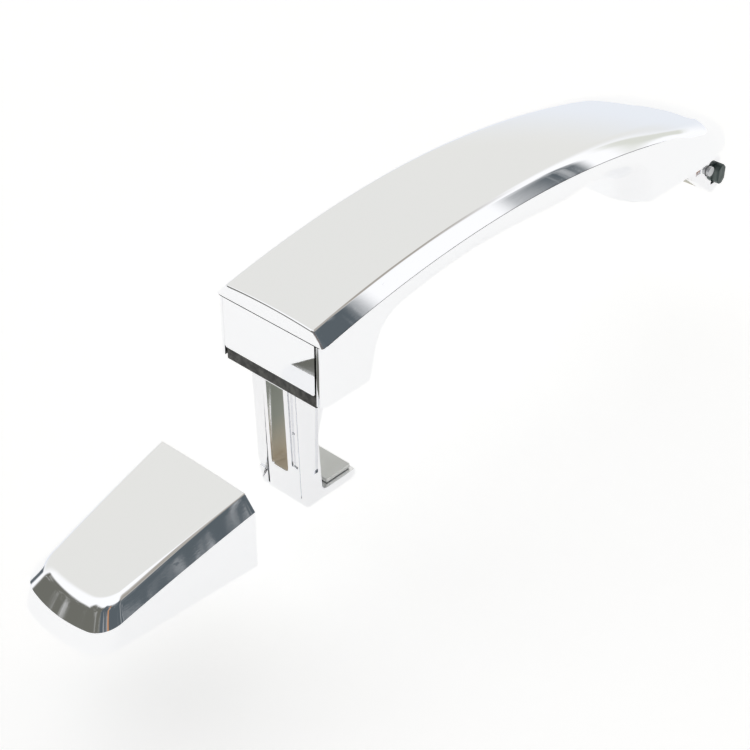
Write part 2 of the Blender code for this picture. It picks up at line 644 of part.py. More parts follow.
def build_cap_gasket(material, parts, slide):
    """A foam ring that lines the open side, between the shell's wall and the frame."""
    rings = []
    for inset in (WALL + 0.4 * MM, WALL + 1.4 * MM):
        ring = cap_outline(CAP_LENGTH - 1.4 * MM - inset, inset, lambda x: 0.0)
        rings.append([(min(x, -inset), y) for x, y, z in ring])
    gasket = prism("cap_gasket", rings, "XY", 1.2 * MM, 2.1 * MM, parts)
    return finish(gasket, material, slide, keep_world=False)


def build_cap_clip(name, side, material, parts, slide):
    """A spring clip: a strip folded outward through the frame's window."""
    near = CARRIER_HALF - 1.3 * MM
    low, high = CLIP_Z
    middle, sheet = (low + high) / 2, 0.5 * MM
    strip = [(near, low), (near + sheet, low), (near + 3.2 * MM, middle),
             (near + sheet, high), (near, high), (near + 2.5 * MM, middle)]
    outline = [(side * y, z) for y, z in strip]
    clip = prism(name, [outline], "YZ", *CLIP_X, parts)
    return finish(clip, material, slide, keep_world=False)


# ---- the whole object -----------------------------------------------------------------------------
def build():
    clear_scene()
    parts = make_collection("car_door_handle")
    cutters = make_collection("cutters")
    chrome = make_material("chrome", (0.86, 0.87, 0.88), 0.06, 1.0)
    steel = make_material("steel", (0.50, 0.51, 0.53), 0.35, 1.0)
    brass = make_material("brass", (0.72, 0.55, 0.28), 0.30, 1.0)
    seal_rubber = make_material("seal_rubber", (0.07, 0.07, 0.07), 0.85, 0.0)
    bumper_rubber = make_material("bumper_rubber", (0.03, 0.05, 0.045), 0.60, 0.0)
    white_plastic = make_material("white_plastic", (0.75, 0.75, 0.72), 0.45, 0.0)
    black_plastic = make_material("black_plastic", (0.03, 0.03, 0.03), 0.50, 0.0)
    hinge = joint_empty("pull_pivot_axis", PIVOT, parts)
    slide = joint_empty("cap_slide_axis", CAP_LOOSE, parts)

    build_outer_cover(chrome, parts, cutters, hinge)
    build_grip_backing(chrome, parts, cutters, hinge)
    build_grip_stiffener(steel, parts, hinge)
    build_latch_leg(chrome, parts, cutters, hinge)
    build_hook_liner(white_plastic, parts, hinge)
    build_pivot_arm(chrome, parts, cutters, hinge)
    build_pivot_pin(steel, parts, hinge)
    build_pivot_bumper(bumper_rubber, parts, hinge)
    for name, side in (("cover_screw_rear_left", 1), ("cover_screw_rear_right", -1)):
        build_screw(name, COVER_SCREW_X, side * COVER_SCREW_Y, 3.7 * MM, 14.5 * MM, steel, parts, cutters,
                    hinge)
    build_screw("cover_screw_front", FRONT_SCREW_X, 0.0, 1.2 * MM, 11.0 * MM, steel, parts, cutters, hinge)
    build_screw("arm_screw", ARM_SCREW_X, 0.0, 1.2 * MM, 8.0 * MM, steel, parts, cutters, hinge)

    build_rear_seal(seal_rubber, parts, cutters)
    build_front_seal(seal_rubber, parts)

    build_cap_shell(chrome, parts, cutters, slide)
    build_cap_carrier(black_plastic, parts, cutters, slide)
    build_cap_insert(brass, parts, cutters, slide)
    build_cap_screw(steel, parts, cutters, slide)
    build_cap_gasket(seal_rubber, parts, slide)
    build_cap_clip("cap_clip_left", 1, steel, parts, slide)
    build_cap_clip("cap_clip_right", -1, steel, parts, slide)


build()
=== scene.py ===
"""Looks of a chromed car door handle and its loose end cap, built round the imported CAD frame.

The frame gives every place: X runs along the handle from its rear end to its pivot end, Y across
it and Z outward from the door skin, Z = 0. The visible chrome skins are rebuilt here as fine
meshes with rounded edges; the small inner parts keep their CAD shape and get their materials.
"""
import math

import bmesh
import bpy
from mathutils import Matrix, Vector


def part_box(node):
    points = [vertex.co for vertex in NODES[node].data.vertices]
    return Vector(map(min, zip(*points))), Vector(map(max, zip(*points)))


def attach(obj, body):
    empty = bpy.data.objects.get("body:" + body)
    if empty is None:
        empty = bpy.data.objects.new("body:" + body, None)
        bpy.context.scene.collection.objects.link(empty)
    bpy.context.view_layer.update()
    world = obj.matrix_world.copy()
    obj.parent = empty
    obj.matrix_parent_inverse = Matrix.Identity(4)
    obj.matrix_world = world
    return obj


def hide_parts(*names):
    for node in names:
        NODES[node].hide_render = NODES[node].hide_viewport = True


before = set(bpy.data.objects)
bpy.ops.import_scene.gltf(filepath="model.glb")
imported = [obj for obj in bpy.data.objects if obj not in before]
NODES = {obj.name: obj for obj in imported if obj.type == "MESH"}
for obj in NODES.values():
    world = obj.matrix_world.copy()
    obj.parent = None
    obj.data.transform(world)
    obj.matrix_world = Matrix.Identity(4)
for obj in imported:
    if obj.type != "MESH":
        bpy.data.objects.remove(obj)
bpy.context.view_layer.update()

MM = 0.001

# ---- sizes that the frame gives ----------------------------------------------------------------
BACKING_LOW, BACKING_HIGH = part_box("grip_backing")
LEG_LOW, LEG_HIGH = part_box("latch_leg")
BUMPER_LOW, BUMPER_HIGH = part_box("pivot_bumper")
CAP_LOW, CAP_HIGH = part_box("cap_shell")
SEAL_LOW, SEAL_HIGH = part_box("rear_seal")
FRONT_PAD_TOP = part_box("front_seal")[1].z
HALF = BACKING_HIGH.y                 # half the width of the handle
LENGTH = BACKING_HIGH.x
RIM_Z = BACKING_LOW.z

# ---- the handle's lines: the CAD's own, but for the roll round the nose, which is deeper --------
CREASE_APEX = (69.0 * MM, 29.6 * MM)
CREASE_RADIUS = 318.0 * MM
BEVEL_WIDTH = (3.4 * MM, 5.4 * MM)
BEVEL_DROP = (3.6 * MM, 2.0 * MM)
WIDENING = (60.0 * MM, 170.0 * MM)    # the stretch over which the bevel gets wider
ROLL_START = 143.0 * MM               # from here the bevel rounds over into the nose's roll
ROLL_WIDTH = 12.0 * MM
ROLL_SIDES = 0.6                      # share of that width that the nose's sides get
ROLL_DROP = 8.0 * MM
NOSE_SEAM = 1.4 * MM                  # the seam never comes lower than this above the door
DEEPENING = (40.0 * MM, 110.0 * MM)   # the stretch over which the grip gets deeper
CROWN = 0.8 * MM
WALL = 2.2 * MM
NOSE_START = 152.0 * MM
NOSE_POWER = 3.0
SPINE_END = 168.0 * MM                # the nose's face fans out from here
REAR_FOOT = 18.8 * MM
FRONT_FOOT = 130.0 * MM
GRIP_DEPTH = (7.2 * MM, 9.6 * MM)
OVER = 1.0 * MM                       # how far a cutter reaches past a face that it opens
ABOVE = 40.0 * MM                     # a height above everything
SEAM_GAP = (0.16 * MM, -0.06 * MM)    # along the grip and round the nose, where it closes up
CLOSING = (128.0 * MM, 148.0 * MM)    # the stretch over which it closes
REAR_EDGE = 0.7 * MM                  # rounding between the face and the rear end wall
CREASE_ROUND = (0.45 * MM, 2.2 * MM)  # rounding of the crease, at the rear and at the nose
ROUNDING = (30.0 * MM, 150.0 * MM)    # the stretch over which that rounding grows
BOWING = (118.0 * MM, 172.0 * MM)     # the stretch over which the flat bevel becomes a bowed roll
CORNER = 2.0 * MM                     # plan radius of the backing's rear corners
GRIP_SPAN = (33.0 * MM, 113.0 * MM)   # the stretch where the underside follows the crease
EDGE_RADIUS = (3.6 * MM, 4.8 * MM, 13.0 * MM)  # of the underside's edges: rear foot, grip, front foot
EDGE_SWEEP = (90.0, 62.0)             # degrees of arc on those edges, on the grip and at the front foot

COVER_WALL = 2.5 * MM
END_WALL_LOW = SEAL_HIGH.z + 0.4 * MM
END_WALL_CORNER = 0.8 * MM
END_WALL_GAPS = (0.03 * MM, 0.6 * MM)  # between the end wall and the backing, on the +Y and -Y side
LIP_SHRINK = 0.985                    # the cover's rear lip turns in by this share of its width
LIP_DROP = 0.2 * MM

# ---- the leg's and the screws' lines -----------------------------------------------------------
LEG_MIDDLE = 2.0 * MM                 # the leg stands a little off the centre line
LEG_LOW_Y, LEG_HIGH_Y = LEG_MIDDLE - 8.5 * MM, LEG_MIDDLE + 8.5 * MM
LEG_SLOPE = 2.1 * MM                  # how far its rear face leans forward on the way down
LEG_CUT_TOP = 10.5 * MM               # the grooves in its rear face run up to here
HOOK_TOP = -37.1 * MM
SLOT_HALF = 3.0 * MM                  # half the width of the slot in the leg
SLOT_Z = (-30.0 * MM, -3.2 * MM)
SCREW_HOLE = 1.35 * MM
COUNTERBORE = 2.35 * MM


def blend(pair, share):
    """A value between pair[0] and pair[1], eased in and out."""
    share = min(max(share, 0.0), 1.0)
    eased = share * share * (3.0 - 2.0 * share)
    return pair[0] + (pair[1] - pair[0]) * eased


def crease_z(x):
    run = x - CREASE_APEX[0]
    return CREASE_APEX[1] - CREASE_RADIUS + math.sqrt(CREASE_RADIUS ** 2 - run ** 2)


def share_of(span, x):
    """0 at the start of a span of X, 1 at its end."""
    return (x - span[0]) / (span[1] - span[0])


def roll_share(x):
    """0 where the bevel is flat, 1 at the tip, where it is the nose's round roll."""
    return blend((0.0, 1.0), share_of((ROLL_START, LENGTH), x))


def bevel_drop(x):
    drop = BEVEL_DROP[0] + (BEVEL_DROP[1] - BEVEL_DROP[0]) * x / LENGTH + ROLL_DROP * roll_share(x)
    return min(drop, crease_z(x) - NOSE_SEAM)


def bevel_width(x, ahead):
    """ahead is 0 on the handle's sides and 1 at the middle of the tip."""
    roll = ROLL_WIDTH * roll_share(x) * (ROLL_SIDES + (1.0 - ROLL_SIDES) * ahead)
    return blend(BEVEL_WIDTH, share_of(WIDENING, x)) + roll


def seam_z(x):
    return crease_z(x) - bevel_drop(x)


def backing_top_z(x):
    return seam_z(x) - blend(SEAM_GAP, share_of(CLOSING, x))


def underside_z(x):
    return seam_z(x) - blend(GRIP_DEPTH, share_of(DEEPENING, x))


def stations(low, high, count):
    return [low + (high - low) * i / (count - 1) for i in range(count)]


def bend(start, corner, end, count):
    """Points on a smooth curve from start to end that leans towards corner."""
    points = []
    for i in range(count + 1):
        t = i / count
        points.append(tuple((1 - t) ** 2 * a + 2 * t * (1 - t) * b + t * t * c
                            for a, b, c in zip(start, corner, end)))
    return points


def arc(centre, radius, start_deg, end_deg, count):
    points = []
    for i in range(count + 1):
        angle = math.radians(start_deg + (end_deg - start_deg) * i / count)
        points.append((centre[0] + radius * math.cos(angle), centre[1] + radius * math.sin(angle)))
    return points


def nose_side(count, inset=0.0):
    """Half of the nose's plan outline, from its widest place to the tip."""
    reach, wide = LENGTH - NOSE_START - inset, HALF - inset
    points = []
    for i in range(count + 1):
        angle = 0.5 * math.pi * i / count
        x = NOSE_START + reach * math.sin(angle) ** (2.0 / NOSE_POWER)
        points.append((x, wide * max(math.cos(angle), 0.0) ** (2.0 / NOSE_POWER)))
    return points


def mirrored(half):
    """Rows of points on the +Y side, up to the one on the middle line, then their mirror images."""
    return half + [[Vector((p.x, -p.y, p.z)) for p in points] for points in half[-2::-1]]


# ---- mesh tools --------------------------------------------------------------------------------
def mesh_piece(name, points, faces, merge=1e-6):
    mesh = bpy.data.meshes.new(name)
    mesh.from_pydata([tuple(p) for p in points], [], faces)
    solid = bmesh.new()
    solid.from_mesh(mesh)
    bmesh.ops.remove_doubles(solid, verts=solid.verts, dist=merge)
    bmesh.ops.dissolve_degenerate(solid, edges=solid.edges, dist=merge)
    bmesh.ops.recalc_face_normals(solid, faces=solid.faces)
    solid.to_mesh(mesh)
    solid.free()
    piece = bpy.data.objects.new(name, mesh)
    bpy.context.scene.collection.objects.link(piece)
    return piece


class Shell:
    """Collects points and faces for one mesh."""

    def __init__(self):
        self.points = []
        self.faces = []

    def row(self, points):
        first = len(self.points)
        self.points.extend(points)
        return list(range(first, first + len(points)))

    def strip(self, low, high):
        """Quads between two rows of equal length."""
        for a, b, c, d in zip(low, low[1:], high[1:], high):
            self.faces.append((a, b, c, d))

    def fill(self, loop):
        self.faces.append(tuple(loop))

    def piece(self, name):
        return mesh_piece(name, self.points, self.faces)


def prism(name, outlines, plane, low, high):
    """Flat outlines filled and extruded: plane XY rises along Z, XZ runs along Y, YZ along X."""
    curve = bpy.data.curves.new(name, "CURVE")
    curve.dimensions = "2D"
    curve.fill_mode = "BOTH"
    curve.extrude = (high - low) / 2
    for outline in outlines:
        spline = curve.splines.new("POLY")
        spline.points.add(len(outline) - 1)
        spline.use_cyclic_u = True
        for point, (u, v) in zip(spline.points, outline):
            point.co = (u, v, 0.0, 1.0)
    guide = bpy.data.objects.new(name, curve)
    bpy.context.scene.collection.objects.link(guide)
    middle = (low + high) / 2
    if plane == "XZ":
        guide.rotation_euler = (math.pi / 2, 0.0, 0.0)
        guide.location = (0.0, middle, 0.0)
    elif plane == "YZ":
        guide.rotation_euler = (math.pi / 2, 0.0, math.pi / 2)
        guide.location = (middle, 0.0, 0.0)
    else:
        guide.location = (0.0, 0.0, middle)
    bpy.context.view_layer.update()
    evaluated = guide.evaluated_get(bpy.context.evaluated_depsgraph_get())
    mesh = bpy.data.meshes.new_from_object(evaluated)
    mesh.transform(guide.matrix_world)
    bpy.data.objects.remove(guide, do_unlink=True)
    piece = bpy.data.objects.new(name, mesh)
    bpy.context.scene.collection.objects.link(piece)
    clean(piece)
    mesh.materials.clear()
    return piece


def clean(piece, merge=1e-5):
    solid = bmesh.new()
    solid.from_mesh(piece.data)
    bmesh.ops.remove_doubles(solid, verts=solid.verts, dist=merge)
    bmesh.ops.recalc_face_normals(solid, faces=solid.faces)
    solid.to_mesh(piece.data)
    solid.free()
    return piece


def block(name, low, high):
    outline = [(low[0], low[1]), (high[0], low[1]), (high[0], high[1]), (low[0], high[1])]
    return prism(name, [outline], "XY", low[2], high[2])


def rod(name, radius, start, end, sides=32):
    start, end = Vector(start), Vector(end)
    along = end - start
    piece = prism(name, [arc((0.0, 0.0), radius, 0, 360 - 360 / sides, sides - 1)], "XY",
                  -along.length / 2, along.length / 2)
    turn = along.to_track_quat("Z", "Y").to_matrix().to_4x4()
    piece.data.transform(Matrix.Translation((start + end) / 2) @ turn)
    return piece


def apply_modifiers(piece):
    bpy.context.view_layer.update()
    evaluated = piece.evaluated_get(bpy.context.evaluated_depsgraph_get())
    mesh = bpy.data.meshes.new_from_object(evaluated)
    piece.modifiers.clear()
    piece.data = mesh
    return piece


def combine(piece, operation, tools):
    for tool in tools:
        step = piece.modifiers.new(tool.name, "BOOLEAN")
        step.operation = operation
        step.solver = "EXACT"
        step.object = tool
    apply_modifiers(piece)
    for tool in tools:
        bpy.data.objects.remove(tool, do_unlink=True)
    return clean(piece, 2e-6)


def soften(piece, width, segments=2, angle=40):
    """Round every edge sharper than angle."""
    step = piece.modifiers.new("soften", "BEVEL")
    step.limit_method = "ANGLE"
    step.angle_limit = math.radians(angle)
    step.width = width
    step.segments = segments
    step.miter_outer = "MITER_ARC"
    step.harden_normals = False
    return apply_modifiers(piece)


def smooth(piece, angle=32, flat_x=None):
    """Smooth shading with sharp edges kept, and normals led by the larger faces.

    Faces that lie wholly at flat_x stay flat, as a mirror's plane must."""
    piece.data.shade_smooth()
    piece.data.set_sharp_from_angle(angle=math.radians(angle))
    for face in piece.data.polygons:
        places = [piece.data.vertices[i].co.x for i in face.vertices]
        if flat_x is not None and all(abs(x - flat_x) < 1e-6 for x in places):
            face.use_smooth = False
    step = piece.modifiers.new("normals", "WEIGHTED_NORMAL")
    step.keep_sharp = True
    step.mode = "FACE_AREA_WITH_ANGLE"
    step.weight = 70
    return apply_modifiers(piece)


def dress(piece, body, material, slot, *replaced):
    piece.data.materials.clear()
    piece.data.materials.append(material)
    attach(piece, body)
    if replaced:
        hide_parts(*replaced)
    return piece


# ---- outer cover -------------------------------------------------------------------------------
def side_line():
    """Half of the cover's plan outline, from the rear end to the nose's tip."""
    rear = [(REAR_EDGE * (1.0 - math.cos(math.radians(a))), HALF) for a in (0, 18, 36, 54, 72)]
    middle = [(x, HALF) for x in stations(REAR_EDGE, NOSE_START, 58)]
    return rear + middle[:-1] + nose_side(44)


def rear_inset(x):
    """How far the section shrinks close to the rear end, to round the end's edge."""
    run = max(REAR_EDGE - x, 0.0)
    return REAR_EDGE - math.sqrt(REAR_EDGE ** 2 - run ** 2)


def section(x, y, inset):
    """Points from the seam at plan position (x, y) up over the crease to the middle line."""
    spine_x = min(x, SPINE_END)
    reach = math.hypot(x - spine_x, y)
    toward = Vector(((spine_x - x) / reach, -y / reach, 0.0))
    roundness = blend((0.0, 1.0), share_of(BOWING, x))
    width = min(bevel_width(x, abs(toward.x)), 0.8 * reach)
    drop = bevel_drop(x)
    fillet = blend(CREASE_ROUND, share_of(ROUNDING, x))
    start = Vector((x, y, 0.0)) + toward * inset
    face_reach = reach - width - inset
    crown = CROWN * (HALF - blend(BEVEL_WIDTH, share_of(WIDENING, x))) / HALF

    def bevel_at(t):
        angle = 0.5 * math.pi * t
        flat = Vector((width * t, drop * t))
        bowed = Vector((width * (1.0 - math.cos(angle)), drop * math.sin(angle)))
        return flat.lerp(bowed, roundness)

    def face_at(depth):
        share = 1.0 - (depth - width) / max(face_reach, 1e-6)
        return crown * (1.0 - share * share)

    slope = math.hypot(width, drop)
    cut = 1.0 - fillet / slope
    profile = [bevel_at(cut * t) for t in (0.0, 0.2, 0.4, 0.6, 0.8)]
    low, knee = bevel_at(cut), bevel_at(1.0)
    high = Vector((width + fillet, drop + face_at(width + fillet)))
    profile += [Vector(p) for p in bend(low, knee, high, 6)]
    for share in (0.08, 0.18, 0.3, 0.44, 0.58, 0.72, 0.86, 1.0):
        depth = width + fillet + (face_reach - fillet) * share
        profile.append(Vector((depth, drop + face_at(depth))))
    base = seam_z(x)
    points = []
    for depth, height in profile:
        place = start + toward * min(depth, reach - inset)
        ground = crease_z(place.x) - crease_z(x)
        sunk = inset if height > 0.0 else 0.0
        points.append(Vector((place.x, place.y, base + ground + height - sunk)))
    return points


def cover_chain(inset):
    """Sections all round the cover: +Y side from the rear to the tip, then back along -Y."""
    scale = (LENGTH - 2 * inset) / LENGTH
    half = []
    for x, y in side_line():
        if inset:
            half.append(section(inset + x * scale, y, inset))
        else:
            half.append(section(x, y, rear_inset(x)))
    return mirrored(half)


def end_wall_edge(x):
    """The rear end wall's outline at x: down its +Y side, along its foot and up its -Y side."""
    low, corner = END_WALL_LOW, END_WALL_CORNER
    left, right = ([(wide, seam_z(x))] + arc((wide - corner, low + corner), corner, 0, -90, 4)
                   for wide in (HALF - WALL - gap for gap in END_WALL_GAPS))
    return [Vector((x, y, z)) for y, z in left] + [Vector((x, -y, z)) for y, z in right[::-1]]


def build_cover(material):
    shell = Shell()
    outer = [shell.row(points) for points in cover_chain(0.0)]
    inner = [shell.row(points) for points in cover_chain(COVER_WALL)]
    for chain in (outer, inner):
        for a, b in zip(chain, chain[1:]):
            shell.strip(a, b)
    for (a, b), (c, d) in zip(zip(outer[1:-1], outer[2:-1]), zip(inner[1:-1], inner[2:-1])):
        shell.fill((a[0], b[0], d[0], c[0]))

    front = shell.row(end_wall_edge(0.0))
    back = shell.row(end_wall_edge(COVER_WALL))
    shell.strip(front, back)
    lip = []
    for row in (outer[0], outer[-1]):
        places = [shell.points[i] for i in row]
        drawn_in = [Vector((p.x, p.y * LIP_SHRINK, p.z - LIP_DROP)) for p in places]
        lip.append(shell.row(places[:1] + drawn_in[1:]))
        shell.strip(row, lip[-1])
    shell.fill(lip[0][::-1] + [front[0], front[-1]] + lip[1])
    shell.fill(front)
    shell.fill(inner[0][::-1] + back + inner[-1])
    shell.fill((outer[0][0], outer[1][0], inner[1][0], inner[0][0], back[0], front[0]))
    shell.fill((outer[-1][0], outer[-2][0], inner[-2][0], inner[-1][0], back[-1], front[-1]))
    cover = smooth(shell.piece("cover_skin"), 28, flat_x=0.0)
    return dress(cover, "pull_handle", material, "chrome_plate", "outer_cover")


# ---- backing: sides, underside of the grip, both feet -------------------------------------------
def grip_path(steps=10):
    """(x, z) from the rear foot's inner rim, along the underside, to the front foot's inner rim."""
    lean, rise = 2.0 * MM, (0.0, 0.25, 0.5, 0.75)
    rear_knee = (REAR_FOOT + lean, 9.5 * MM)
    front_knee = (FRONT_FOOT - lean, 7.5 * MM)
    grip = [(x, underside_z(x)) for x in stations(*GRIP_SPAN, 33)]
    path = [(REAR_FOOT + lean * t, RIM_Z + (rear_knee[1] - RIM_Z) * t) for t in rise]
    path += bend(rear_knee, (REAR_FOOT + 3.5 * MM, grip[0][1] - 0.6 * MM), grip[0], steps)
    path += grip[1:-1]
    path += bend(grip[-1], (FRONT_FOOT - 4.5 * MM, grip[-1][1] - 2.5 * MM), front_knee, steps)
    down = [(FRONT_FOOT - lean * t, RIM_Z + (front_knee[1] - RIM_Z) * t) for t in rise[::-1]]
    return path + down


def path_normals(path):
    """Unit normals of the path, pointing to the fingers' side."""
    normals = []
    for i in range(len(path)):
        before, after = path[max(i - 1, 0)], path[min(i + 1, len(path) - 1)]
        run = Vector((after[0] - before[0], after[1] - before[1])).normalized()
        normals.append(Vector((run.y, -run.x)))
    normals[0] = Vector((1.0, 0.0))
    normals[-1] = Vector((-1.0, 0.0))
    return normals


def edge_rounding(x):
    """Radius and sweep of the grip's edges: a quarter circle, wider and shallower at the front foot."""
    if x < 75.0 * MM:
        return blend(EDGE_RADIUS[:2], share_of((20.0 * MM, 60.0 * MM), x)), EDGE_SWEEP[0]
    share = share_of((88.0 * MM, 126.0 * MM), x)
    return blend(EDGE_RADIUS[1:], share), blend(EDGE_SWEEP, share)


def grip_rows(shell, turns=9):
    """Rows of points across the underside, with its rounded edges, from the rear foot forward."""
    path = grip_path()
    rows = []
    for (x, z), normal in zip(path, path_normals(path)):
        radius, sweep = edge_rounding(x)
        sweep = math.radians(sweep)
        half = []
        for i in range(turns + 1):
            angle = sweep * i / turns
            inward = radius * (1.0 - math.cos(angle))
            across = HALF + radius * (math.sin(angle) - math.sin(sweep))
            half.append(Vector((x - normal.x * inward, across, z - normal.y * inward)))
        row = [Vector((p.x, -p.y, p.z)) for p in half[::-1]] + half
        rows.append(shell.row(row))
    return rows


def backing_solid():
    """The backing's outer form, closed and not yet hollow."""
    shell = Shell()
    rows = grip_rows(shell)
    for low, high in zip(rows, rows[1:]):
        shell.strip(low, high)

    seam_x = stations(CORNER, NOSE_START, 58)
    turns = [math.radians(a) for a in (90, 75, 60, 45, 30, 15)]
    corner = [(CORNER - CORNER * math.sin(a), HALF - CORNER + CORNER * math.cos(a)) for a in turns]
    nose = nose_side(44)
    top, rims = {}, {}
    for side in (1, -1):
        corner_top = shell.row([Vector((x, side * y, backing_top_z(x))) for x, y in corner])
        corner_rim = shell.row([Vector((x, side * y, RIM_Z)) for x, y in corner])
        seam = shell.row([Vector((x, side * HALF, backing_top_z(x))) for x in seam_x])
        nose_top = shell.row([Vector((x, side * y, backing_top_z(x))) for x, y in nose[1:]])
        nose_rim = shell.row([Vector((x, side * y, RIM_Z)) for x, y in nose])
        start_rim = shell.row([Vector((CORNER, side * HALF, RIM_Z))])
        shell.strip(corner_top + seam[:1], corner_rim + start_rim)
        shell.strip(seam[-1:] + nose_top, nose_rim)
        under = [row[-1 if side > 0 else 0] for row in rows]
        shell.fill(seam + nose_rim[:1] + under[::-1] + start_rim)
        top[side] = corner_top + seam + nose_top
        rims[side] = (corner_rim + start_rim, nose_rim)
    shell.strip(top[1], top[-1])
    shell.fill([top[1][0], top[-1][0], rims[-1][0][0], rims[1][0][0]])
    shell.fill(rims[1][0] + rows[0][::-1] + rims[-1][0][::-1])
    shell.fill(rims[1][1][::-1] + rows[-1][::-1] + rims[-1][1])
    return shell.piece("backing_skin")


def inner_path(inset):
    path = grip_path()
    return [(x - n.x * inset, z - n.y * inset) for (x, z), n in zip(path, path_normals(path))]


def screw_places(*names):
    """Middle of each screw in plan."""
    places = []
    for name in names:
        low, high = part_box(name)
        places.append(((low.x + high.x) / 2, (low.y + high.y) / 2))
    return places


def build_backing(material):
    backing = backing_solid()
    wall_y = HALF - WALL
    rear_floor, front_floor = 6.6 * MM, 4.1 * MM
    hollow_end = 168.0 * MM
    middle = 75.0 * MM
    rear = [p for p in inner_path(WALL) if p[1] > rear_floor and p[0] < middle]
    rear = [(-OVER, rear_floor)] + rear + [(rear[-1][0], ABOVE), (-OVER, ABOVE)]
    front = [p for p in inner_path(WALL) if p[1] > front_floor and p[0] > middle - 6.0 * MM]
    front = [(front[0][0], ABOVE)] + front + [(FRONT_FOOT + WALL, front_floor), (hollow_end, front_floor),
                                              (hollow_end, ABOVE)]
    narrow = HALF - WALL - 5.0 * MM
    leg_side = (LEG_LOW_Y - 0.5 * MM, LEG_HIGH_Y + 0.5 * MM)
    tools = [
        prism("rear_hollow", [rear], "XZ", -wall_y, wall_y),
        prism("front_hollow", [front], "XZ", -narrow, narrow),
        block("seal_recess", (-OVER, -wall_y, -OVER), (16.8 * MM, wall_y, END_WALL_LOW)),
        block("end_wall_room", (-OVER, -wall_y, 3.0 * MM), (WALL + 0.3 * MM, wall_y, 7.0 * MM)),
        block("leg_room", (-OVER, leg_side[0], 0.0), (12.0 * MM, leg_side[1], 8.0 * MM)),
        block("arm_room", (157.4 * MM, -6.6 * MM, -OVER), (172.6 * MM, 6.6 * MM, 8.0 * MM)),
    ]
    for x, y in screw_places("cover_screw_rear_left", "cover_screw_rear_right"):
        tools.append(rod("counterbore", COUNTERBORE, (x, y, 2.0 * MM), (x, y, 5.4 * MM)))
        tools.append(rod("screw_hole", SCREW_HOLE, (x, y, 0.0), (x, y, 8.0 * MM)))
    for x, y in screw_places("cover_screw_front", "arm_screw"):
        tools.append(rod("counterbore", COUNTERBORE, (x, y, 0.0), (x, y, 2.9 * MM)))
        tools.append(rod("screw_hole", SCREW_HOLE, (x, y, 0.0), (x, y, 8.0 * MM)))
    combine(backing, "DIFFERENCE", tools)
    smooth(backing, 28)
    return dress(backing, "pull_handle", material, "chrome_plate", "grip_backing")


# ---- end cap --------------------------------------------------------------------------------------
CAP_ORIGIN = Vector((CAP_HIGH.x, (CAP_LOW.y + CAP_HIGH.y) / 2, CAP_LOW.z - RIM_Z))
CAP_LENGTH = CAP_HIGH.x - CAP_LOW.x
CAP_HALF = (CAP_HIGH.y - CAP_LOW.y) / 2
CAP_TAIL_HALF = 15.0 * MM
CAP_CORNER = 7.0 * MM
CAP_DROP = 3.9 * MM
CAP_BEVEL = 3.4 * MM                  # sideways, along the cap's sides
CAP_LEAN = 1.8 * MM                   # of the tail's wall
CAP_TAIL_BEVEL = 6.2 * MM             # the crease at the tail, from the tail's foot
CAP_TAIL_RADIUS = 45.0 * MM           # the tail's outward curve in plan
CAP_CROWN = 0.2 * MM
CAP_ROUND = (0.35 * MM, 2.4 * MM)     # rounding of the crease, at the handle side and at the tail


def cap_top_z(x):
    """Height of the cap's face; x runs from the tail, negative, to 0 at the handle."""
    return crease_z(0.0) + 0.215 * x - 0.9 * x * x


def cap_ring(inset, tail_inset, start_x):
    """Half of an outline round the cap, from the handle side to the middle of the tail."""
    wide, narrow = CAP_HALF - inset, CAP_TAIL_HALF - inset
    corner = CAP_CORNER - 0.35 * inset
    tail_middle = tail_inset - CAP_LENGTH + CAP_TAIL_RADIUS
    reach = CAP_TAIL_RADIUS - corner
    turn_x = tail_middle - math.sqrt(reach ** 2 - (narrow - corner) ** 2)
    meet = 180.0 - math.degrees(math.asin((narrow - corner) / reach))
    points = [(start_x + (turn_x - start_x) * t, wide + (narrow - wide) * t)
              for t in stations(0.0, 1.0, 22)]
    points += arc((turn_x, narrow - corner), corner, 90, meet, 16)[1:]
    points += arc((tail_middle, 0.0), CAP_TAIL_RADIUS, meet, 180, 7)[1:]
    return points


def cap_chain(shrink, start_x):
    """Sections all round the cap, each from its rim up over the bevel to the middle line."""
    rims = cap_ring(shrink, shrink, start_x)
    bottoms = cap_ring(shrink, CAP_LEAN + shrink, start_x)
    creases = cap_ring(CAP_BEVEL + 0.6 * shrink, CAP_TAIL_BEVEL + shrink, start_x)
    spine_low = -(CAP_LENGTH - 19.0 * MM)
    half = []
    for (rim_x, rim_y), (low_x, low_y), (high_x, high_y) in zip(rims, bottoms, creases):
        rim = Vector((rim_x, rim_y, RIM_Z))
        low = Vector((low_x, low_y, cap_top_z(low_x) - CAP_DROP - 0.6 * shrink))
        high = Vector((high_x, high_y, cap_top_z(high_x) - shrink))
        middle_x = max(high_x, spine_low)
        middle = Vector((middle_x, 0.0, cap_top_z(middle_x) + CAP_CROWN - shrink))
        fillet = blend(CAP_ROUND, -high_x / CAP_LENGTH)
        on_bevel = high.lerp(low, fillet / (high - low).length)
        on_face = high.lerp(middle, fillet / (high - middle).length)
        points = [rim.lerp(low, t) for t in (0.0, 0.4, 0.8, 0.97)]
        points += [low.lerp(on_bevel, t) for t in (0.0, 0.03, 0.35, 0.7)]
        points += [Vector(p) for p in bend(on_bevel, high, on_face, 8)]
        for t in (0.1, 0.22, 0.36, 0.5, 0.66, 0.82, 1.0):
            place = on_face.lerp(middle, t)
            ground = cap_top_z(place.x) - shrink + CAP_CROWN * (1.0 - (place.y / CAP_HALF) ** 2)
            points.append(Vector((place.x, place.y, place.z + (ground - place.z) * min(2.0 * t, 1.0))))
        half.append(points)
    return [[p + CAP_ORIGIN for p in points] for points in mirrored(half)]


